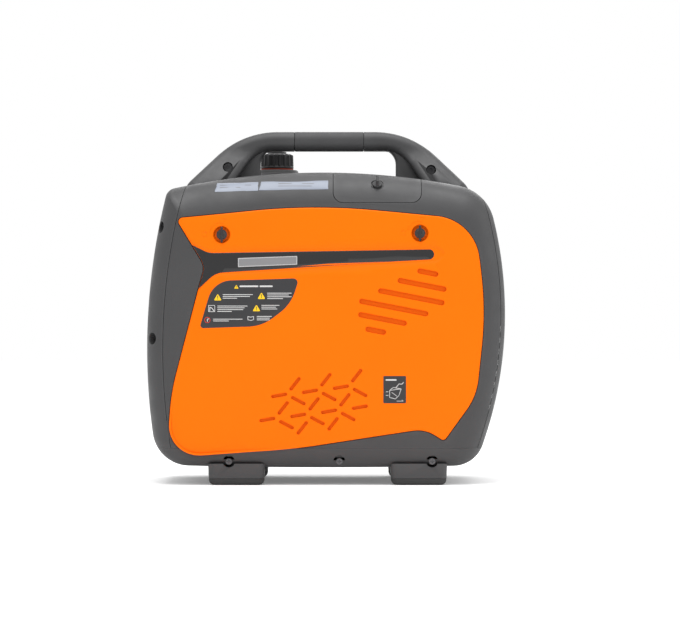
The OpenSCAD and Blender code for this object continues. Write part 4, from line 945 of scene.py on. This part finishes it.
def channel_sink(u, v):
    """How far the cover's face lies below its surface inside the band's channel."""
    p = np.array([[u, v]])
    if not inside(p, CHANNEL_LOOP)[0]:
        return 0.0
    return CHANNEL_DEPTH * smooth_step(distance_to(p, CHANNEL_LOOP)[0] / 4.6)


def on_cover(proud=0.0):
    """Lays (x, z) on the maintenance cover's own face."""
    surface = on_front(COVER_PROUD + proud)

    def place(u, v, d):
        x, y, z = surface(u, v, d)
        return (x, y + channel_sink(u, v), z)
    return place


def maintenance_cover():
    slots = cover_slots()
    creases = [soft_outline(CHANNEL, k, 8) for k in (0, 1.2, 2.4, 3.6, 4.8)]
    panel = plate("cover_panel", COVER, slots + [circle(12, x, z) for x, z in KNOBS], 3.6, 2.2, on_cover(),
                  "orange_plastic", hole_edge=0.5, spacing=9, steps=5, back_edge=0.5, corner_steps=14,
                  creases=creases)
    parts = [panel] + [recess_dish(x, z) for x, z in KNOBS]
    floor = on_front(COVER_PROUD - SLOT_DEPTH)
    # Slot floors in the darker orange: painted shade inside the slots
    for loop in slots:
        parts.append(plate("slot_floor", offset_loop(loop, -1.4), [], 1.2, 0.1, floor, "orange_painted_shade",
                           spacing=8, steps=1))
    parts.append(plate("rim", soft_outline(COVER, 0.4), [soft_outline(COVER, 3)], 4, 0.3,
                       lambda u, v, d: (u, FRONT + 8.4 - (4 - d), v), "orange_plastic", spacing=30))
    finish_piece(weighted(joined("orange_cover", parts)), "cover", "maintenance_cover")
    strip = plate("accent_band", ACCENT, [], 1.4, 0.7, on_cover(0.55), "gloss_black", spacing=8,
                  steps=4, corner_steps=12)
    combine(strip, prism(soft_outline(COVER, 0.5), "y", FRONT - 20, FRONT + 20), "INTERSECT")
    tidy(strip)
    paint(strip, "gloss_black")
    finish_piece(weighted(strip), "cover", "accent_strip")
    badge = plate("badge", BADGE, [], 0.7, 0.25, on_cover(1.1), "silver_badge", spacing=12)
    border = plate("badge_border", soft_outline(BADGE, 0.6), [soft_outline(BADGE, 1.2)], 0.3, 0.05,
                   on_cover(1.22), "white_ink", spacing=12, steps=1)
    finish_piece(joined("badge_silver", [badge, border]), "cover", "badge_plate")


def cover_knob(p, index):
    """A quarter-turn knob: disc, wing, shaft and keeper."""
    x, z = p
    face = FRONT + 3

    def place(u, v, h):
        return (x + u, face - h, z + v)
    disc = lathe("disc", rounded_profile(7.3, 0.3, 2.4, 0.8), place, "knob_plastic")
    wing = plate("wing", soft_outline(box_corners(3.2, 22, 1.5), 0, 8), [], 4.6, 1.0,
                 lambda u, v, d: place(u, v, 6.0 - d), "knob_plastic", spacing=3)
    hub = lathe("hub", [(0, 4.4), (2.6, 4.2), (5, 3.2), (6.4, 1.8), (6.4, 1.4), (0, 1.4)], place,
                "knob_plastic")
    shaft = lathe("shaft", rounded_profile(4.9, -8.6, 0.5, 0.3), place, "knob_plastic")
    keeper = plate("keeper", rounded_box(7, 20, 2), [], 2.3, 0.5,
                   lambda u, v, d: place(u, v, -6.3 - d), "knob_plastic", spacing=6)
    body = ("cover_knob_left", "cover_knob_right")[index]
    obj = joined(body + "_wing", [disc, hub, wing, shaft, keeper])
    finish_piece(weighted(obj), body, body)


def lock_marks():
    """The raised turn marks beside the cover knobs: an arc and an open and a closed padlock."""
    parts = []

    def arc_mark(x, z, radius, start, end):
        angles = np.radians(np.linspace(start, end, 20))
        outer = [(x + (radius + 0.6) * math.cos(a), z + (radius + 0.6) * math.sin(a)) for a in angles]
        inner = [(x + (radius - 0.6) * math.cos(a), z + (radius - 0.6) * math.sin(a)) for a in angles[::-1]]
        return plate("mark", np.array(outer + inner), [], 0.6, 0.15, on_cover(0.22),
                     "orange_plastic", spacing=30)

    def padlock(x, z, shift):
        body = plate("mark", rounded_box(6.4, 4.8, 0.8, x, z), [], 0.6, 0.15,
                     on_cover(0.22), "orange_plastic", spacing=30)
        return [body, arc_mark(x + shift, z + 2.6, 2.2, 0, 180)]
    for x, z in KNOBS:
        parts += padlock(x - 23.5, z, 0)
        parts += padlock(x, z + 18.5, 3.4)
        parts.append(arc_mark(x, z, 17.5, 104, 168))
    obj = joined("lock_marks", parts)
    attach(obj, "cover")


# ---- labels
WARNING = [
    (LEFT + 75.5, TOP - 219.5, 4), (LEFT + 163, TOP - 216.5, 60), (LEFT + 203, TOP - 186, 60),
    (LEFT + 214.5, TOP - 149.8, 6), (LEFT + 95, TOP - 153.5, 34),
]
FILM = 0.4


def decal(outline, ink, place_on, holes=()):
    return plate("decal", np.array(outline, float), [np.array(h, float) for h in holes], 0.12, 0.02,
                 place_on, ink, spacing=25, steps=1)


def triangle(x, z, size):
    rise, radius = size * 0.43, size * 0.09
    return soft_outline([(x - size / 2, z - rise, radius), (x + size / 2, z - rise, radius),
                         (x, z + rise, radius)], 0, 4)


def warning_sign(x, z, size, layer, top):
    """A plain hazard triangle with a stroke and a dot."""
    return [decal(triangle(x, z, size), "yellow_ink", layer),
            decal(rounded_box(size * 0.09, size * 0.3, size * 0.03, x, z + size * 0.02),
                  "label_film", top),
            decal(circle(size * 0.055, x, z - size * 0.25, 12), "label_film", top)]


def bars(x, z, widths, layer, pitch=2.5, height=0.9):
    """Rows of plain bars in place of lines of writing."""
    return [decal(rounded_box(w, height, height * 0.3, x + w / 2, z - i * pitch), "white_ink", layer)
            for i, w in enumerate(widths)]


def stroke(points, width, layer):
    """A drawn line, as one thin slot for each of its spans."""
    parts = []
    for (x0, z0), (x1, z1) in zip(points, points[1:]):
        length = math.hypot(x1 - x0, z1 - z0)
        slope = math.degrees(math.atan2(z1 - z0, x1 - x0))
        line = turned_slot((x0 + x1) / 2, (z0 + z1) / 2, length + width, width, slope, 3)
        parts.append(decal(line, "white_ink", layer))
    return parts


def warning_label():
    base = plate("film", WARNING, [], FILM, 0.15, on_front(COVER_PROUD + FILM), "label_film",
                 spacing=12, corner_steps=10)
    layer, top = on_front(COVER_PROUD + FILM + 0.1), on_front(COVER_PROUD + FILM + 0.2)
    x0, z0 = LEFT, TOP
    parts = [base] + warning_sign(x0 + 127, z0 - 161.5, 6.4, layer, top)
    parts += bars(x0 + 131.5, z0 - 161, [26], layer, height=2.2)
    parts += bars(x0 + 159.5, z0 - 161, [18], layer, height=2.2)
    rows = [(101, -176, 108, [42, 38, 20]), (162, -174, 170, [34, 30, 34, 22]),
            (155, -191, 162, [25, 20, 22])]
    for dx, dz, start, widths in rows:
        parts += warning_sign(x0 + dx, z0 + dz, 11, layer, top)
        parts += bars(x0 + start, z0 + dz + 3.4, widths, layer)
    frame_box = box_corners(9.4, 9.4, 0.6, x0 + 92.5, z0 - 192)
    parts.append(decal(soft_outline(frame_box), "white_ink", layer,
                       [rounded_box(8, 8, 0.4, x0 + 92.5, z0 - 192)]))
    parts += stroke([(x0 + 90, z0 - 195), (x0 + 90, z0 - 190), (x0 + 93, z0 - 191.5), (x0 + 95.5, z0 - 195)],
                    1.1, layer)
    parts += bars(x0 + 100.5, z0 - 188.5, [42, 38, 36, 20], layer)
    ring = circle(4.2, x0 + 86.5, z0 - 208, 24)
    parts.append(decal(ring, "red_ink", layer, [circle(3.4, x0 + 86.5, z0 - 208, 24)]))
    parts += stroke([(x0 + 86.5, z0 - 210), (x0 + 86.5, z0 - 206.5), (x0 + 88.5, z0 - 206.5)], 1.0,
                    layer)
    parts += bars(x0 + 94.5, z0 - 206.8, [41, 22], layer)
    book = [(x0 + 143, z0 - 203), (x0 + 147, z0 - 204), (x0 + 151, z0 - 203), (x0 + 151, z0 - 207.6),
            (x0 + 147, z0 - 208.6), (x0 + 143, z0 - 207.6), (x0 + 143, z0 - 203)]
    parts += stroke(book, 0.8, layer)
    parts += bars(x0 + 155.5, z0 - 203, [21, 18, 18], layer, 2.4)
    finish_piece(joined("warning_film", parts), "cover", "warning_label")


def oil_label():
    x, z = RIGHT - 156, BOTTOM + 110
    base = plate("film", box_corners(31.6, 38, 1.5, x, z), [], FILM, 0.15, on_front(COVER_PROUD + FILM),
                 "label_film", spacing=12)
    layer = on_front(COVER_PROUD + FILM + 0.1)
    parts = [base] + bars(x - 12.5, z + 13.5, [15], layer, height=2)
    can = [(x - 7, z - 1), (x - 7, z - 11), (x + 1, z - 13), (x + 6, z - 8), (x + 9, z + 1), (x - 2, z + 3),
           (x - 7, z - 1), (x + 9, z + 1)]
    parts += stroke(can, 0.7, layer)
    parts += stroke([(x + 2, z + 3), (x + 6, z + 8), (x + 10, z + 7.5), (x + 12, z + 10)], 0.9, layer)
    for drop in (3, 8):
        parts += stroke([(x - 12, z - drop), (x - 9, z - drop)], 0.7, layer)
    parts += stroke([(x - 4, z - 4), (x + 3, z - 9)], 0.6, layer)
    parts += stroke([(x + 3, z - 16), (x + 12, z - 16), (x + 10, z - 14.6)], 0.6, layer)
    finish_piece(joined("oil_film", parts), "cover", "oil_label")


def stickers():
    spans = [(LEFT + 99, LEFT + 157), (LEFT + 161, LEFT + 255)]
    parts = []
    for k, (a, b) in enumerate(spans):
        low, high = TOP - 29 + 2 * k, TOP - 16.5 + 2 * k
        loop = [(a - 3, low, 0.8), (b, low + 1.5, 0.8), (b, high + 1.5, 0.8), (a, high, 0.8)]
        parts.append(plate("film", loop, [], 0.3, 0.05, on_shoulder_skin(0.45), "sticker_film",
                           spacing=2.4, steps=1))
        layer = on_shoulder_skin(0.62)
        for i, width in enumerate([b - a - 14 - 30 * k, (b - a) / 2]):
            bar = box_corners(width, 0.8, 0.3, a + 4 + width / 2 + 20 * k, high - 3 - 3.4 * i)
            parts.append(plate("decal", bar, [], 0.1, 0.02, layer, "grey_ink", spacing=2.4, steps=1))
    finish_piece(joined("sticker_films", parts), "generator", "rating_stickers")


# ---- top fittings
def about_cap(u, v, h):
    return (CAP_X + u, CAP_Y + v, h)


def fuel_filler():
    low, high = CAP_LOW.z, CAP_HIGH.z

    def ribbed(a, r, h):
        if r < 21 or h > high - 1.2 or h < low + 3.3:
            return r
        return r + 1.6 * max(0.0, math.cos(18 * a)) ** 0.5
    profile = [(0, high - 4), (19.4, high - 4), (19.4, low), (23.4, low), (24, low + 0.6), (24, low + 2.4),
               (23.2, low + 3.2), (22.3, low + 3.4), (22.1, low + 8), (21.8, high - 4), (21.6, high - 2),
               (20.9, high - 0.8), (19.4, high), (16, high + 0.1), (14, high - 0.2), (0, high - 0.2)]
    cap = lathe("cap_ribbed", profile, about_cap, "knob_plastic", 216, ribbed)
    finish_piece(cap, "cap", "fuel_cap")
    vent = lathe("vent", rounded_profile(13.5, high + 0.3, high + 2.9, 1.0), about_cap, "knob_plastic")
    lever = plate("lever", box_corners(20, 6.5, 2.6, -6, 0), [], 1.6, 0.7,
                  lambda u, v, d: about_cap(u, v, high + 3.3 - d), "knob_plastic", spacing=4)
    finish_piece(weighted(joined("vent_disc", [vent, lever])), "vent_knob", "cap_vent_knob")
    profile = [(19.4, TOP - 14), (40, TOP - 14), (39.4, TOP - 2), (38, TOP + 2), (36.4, TOP + 3.2),
               (33, TOP + 4.2), (31.2, TOP + 6), (30.2, TOP + 8.6), (28.8, TOP + 9.8), (27.4, TOP + 10),
               (21, TOP + 10), (19.4, TOP + 9.4)]
    collar = lathe("collar_ring", profile, about_cap, "case_plastic", 96, closed=True)
    combine(collar, case_solid())
    finished_shell(collar, "generator", "fuel_neck_collar")


TILT = math.radians(50)
SHOULDER = Vector((PANEL_X, FRONT + 52, TOP - 58))
NORMAL = Vector((0, -math.cos(TILT), math.sin(TILT)))


def plug_panel():
    obj = case_hollow()
    combine(obj, plug_panel_cutter(0), "INTERSECT")
    place = aimed(SHOULDER, NORMAL)
    seat = (hit(tuple(SHOULDER + NORMAL * 120), tuple(-NORMAL)) - SHOULDER).length
    slot = prism(rounded_box(17, 21, 8), "z", 0, 1)
    combine(obj, placed(slot, place, seat - 1.2, 20))
    rename(obj, "plug_panel_skin")
    finished_shell(obj, "plug_panel", "spark_plug_cover")
    base = lathe("base", rounded_profile(7, seat + 0.4, seat + 2.8, 0.9), place, "knob_plastic")
    wing = plate("wing", box_corners(3.4, 14, 1.4), [], 10.5, 1.0,
                 lambda u, v, d: place(u, v, seat + 12.4 - d), "knob_plastic", spacing=3)
    stem = lathe("stem", rounded_profile(2.9, seat - 6, seat, 0.3), place, "knob_plastic")
    finish_piece(weighted(joined("plug_panel_wing", [base, wing, stem])), "plug_panel_knob",
                 "spark_cover_knob")


# ---- feet and screws
def feet():
    places = [(x, s * (BACK - 37)) for x in (LEFT + 126.5, RIGHT - 122) for s in (-1, 1)]
    blocks, soles = [], []
    for x, y in places:
        def block(u, v, d, x=x, y=y):
            spread = 1 + 0.025 * (d / 21) ** 2
            return (x + u * spread, y + v * spread, 9.2 + d)
        blocks.append(plate("foot", box_corners(78, 45, 9), [], 21, 0.5, block, None, spacing=14))

        def sole(u, v, d, x=x, y=y):
            return (x + u, y + v, d)
        soles.append(plate("sole", box_corners(77.6, 44.6, 10), [], 9.1, 7.5, sole, "rubber", spacing=14,
                           steps=6, back_edge=0.4))
    obj = joined("feet_blocks", blocks)
    combine(obj, case_solid())
    for side in (-1, 1):
        for x in SCREWS:
            combine(obj, cylinder(x, SCREW_Z, 8.5, *sorted((side * 120, side * 180))))
    finished_shell(obj, "generator", "feet")
    finish_piece(weighted(joined("feet_soles", soles)), "generator", "foot_soles")


def placed(block, place, low, height):
    """Moves a block from its own z 0 to 1 to where place puts it, from low up by height."""
    for v in block.data.vertices:
        u, w, h = v.co / MM
        v.co = Vector(place(u, w, low + height * h)) * MM
    return tidy(block)


def screw_head(place):
    """A pan head with a cross slot."""
    head = lathe("head", rounded_profile(4.8, 0, 2.8, 1.6), place, "black_steel", 32)
    for turn in (0, 1):
        bar = prism(rounded_box(*((5.4, 1.2) if turn else (1.2, 5.4)), 0.3), "z", 0, 1)
        combine(head, placed(bar, place, 1.4, 6))
    return head


def screws():
    seats = tray_screws() + exhaust_screws() + list(corner_screws())
    heads = [screw_head(aimed(centre, direction)) for centre, direction in seats]
    finish_piece(tidy(joined("screw_heads", heads)), "generator", "case_screws")


# ---- stage
def area_light(name, place, aim, size, energy):
    light = bpy.data.lights.new(name, "AREA")
    light.shape = "RECTANGLE"
    light.size, light.size_y = size
    light.energy = energy
    obj = bpy.data.objects.new(name, light)
    obj.location = place
    obj.rotation_euler = (Vector(aim) - Vector(place)).to_track_quat("-Z", "Y").to_euler()
    bpy.context.collection.objects.link(obj)


def stage():
    scene = bpy.context.scene
    world = bpy.data.worlds.new("studio")
    world.use_nodes = True
    world.node_tree.nodes["Background"].inputs["Color"].default_value = (1, 1, 1, 1)
    world.node_tree.nodes["Background"].inputs["Strength"].default_value = 1.0
    scene.world = world
    scene.view_settings.view_transform = "Standard"
    mesh = bpy.data.meshes.new("floor")
    half = 12.0
    corners = [(-half, -half, 0), (half, -half, 0), (half, half, 0), (-half, half, 0)]
    mesh.from_pydata(corners, [], [(0, 1, 2, 3)])
    floor = bpy.data.objects.new("floor", mesh)
    bpy.context.collection.objects.link(floor)
    surface = material("floor_paint", [0.88, 0.88, 0.88], 0.9, 3, 0.0, 0.004, specular=0.0, edge=0)
    glow = surface.node_tree.nodes["Principled BSDF"]
    glow.inputs["Emission Color"].default_value = (1, 1, 1, 1)
    glow.inputs["Emission Strength"].default_value = 0.16
    mesh.materials.append(surface)
    area_light("key", (-0.6, -2.0, 2.8), (0, 0, 0.25), (1.4, 1.2), 26)
    area_light("fill", (2.6, -0.9, 1.2), (0, 0, 0.25), (1.2, 1.8), 14)
    area_light("over", (0.0, -0.3, 2.4), (0, 0, 0.3), (2.0, 1.2), 36)
    area_light("behind", (0.4, 2.4, 1.8), (0, 0, 0.25), (1.8, 1.4), 18)
    cam = bpy.data.cameras.new("camera")
    cam.sensor_width = 36
    distance, span = 4.5, 0.9475
    cam.lens = cam.sensor_width * distance / span
    cam.clip_end = 60
    obj = bpy.data.objects.new("camera", cam)
    obj.location = (0.0196, FRONT * MM - distance, 0.238)
    obj.rotation_euler = (math.pi / 2, 0, 0)
    bpy.context.collection.objects.link(obj)
    scene.camera = obj


def main():
    for name, obj in frame["nodes"].items():
        paint(obj, SLOT_OF[name])
    front_shell()
    back_shell()
    control_end_cover()
    exhaust_end_cover()
    base_tray()
    handle()
    maintenance_cover()
    for index, place in enumerate(KNOBS):
        cover_knob(place, index)
    lock_marks()
    warning_label()
    oil_label()
    stickers()
    fuel_filler()
    plug_panel()
    feet()
    screws()
    bpy.data.objects.remove(INNER_SOLID)
    stage()


main()
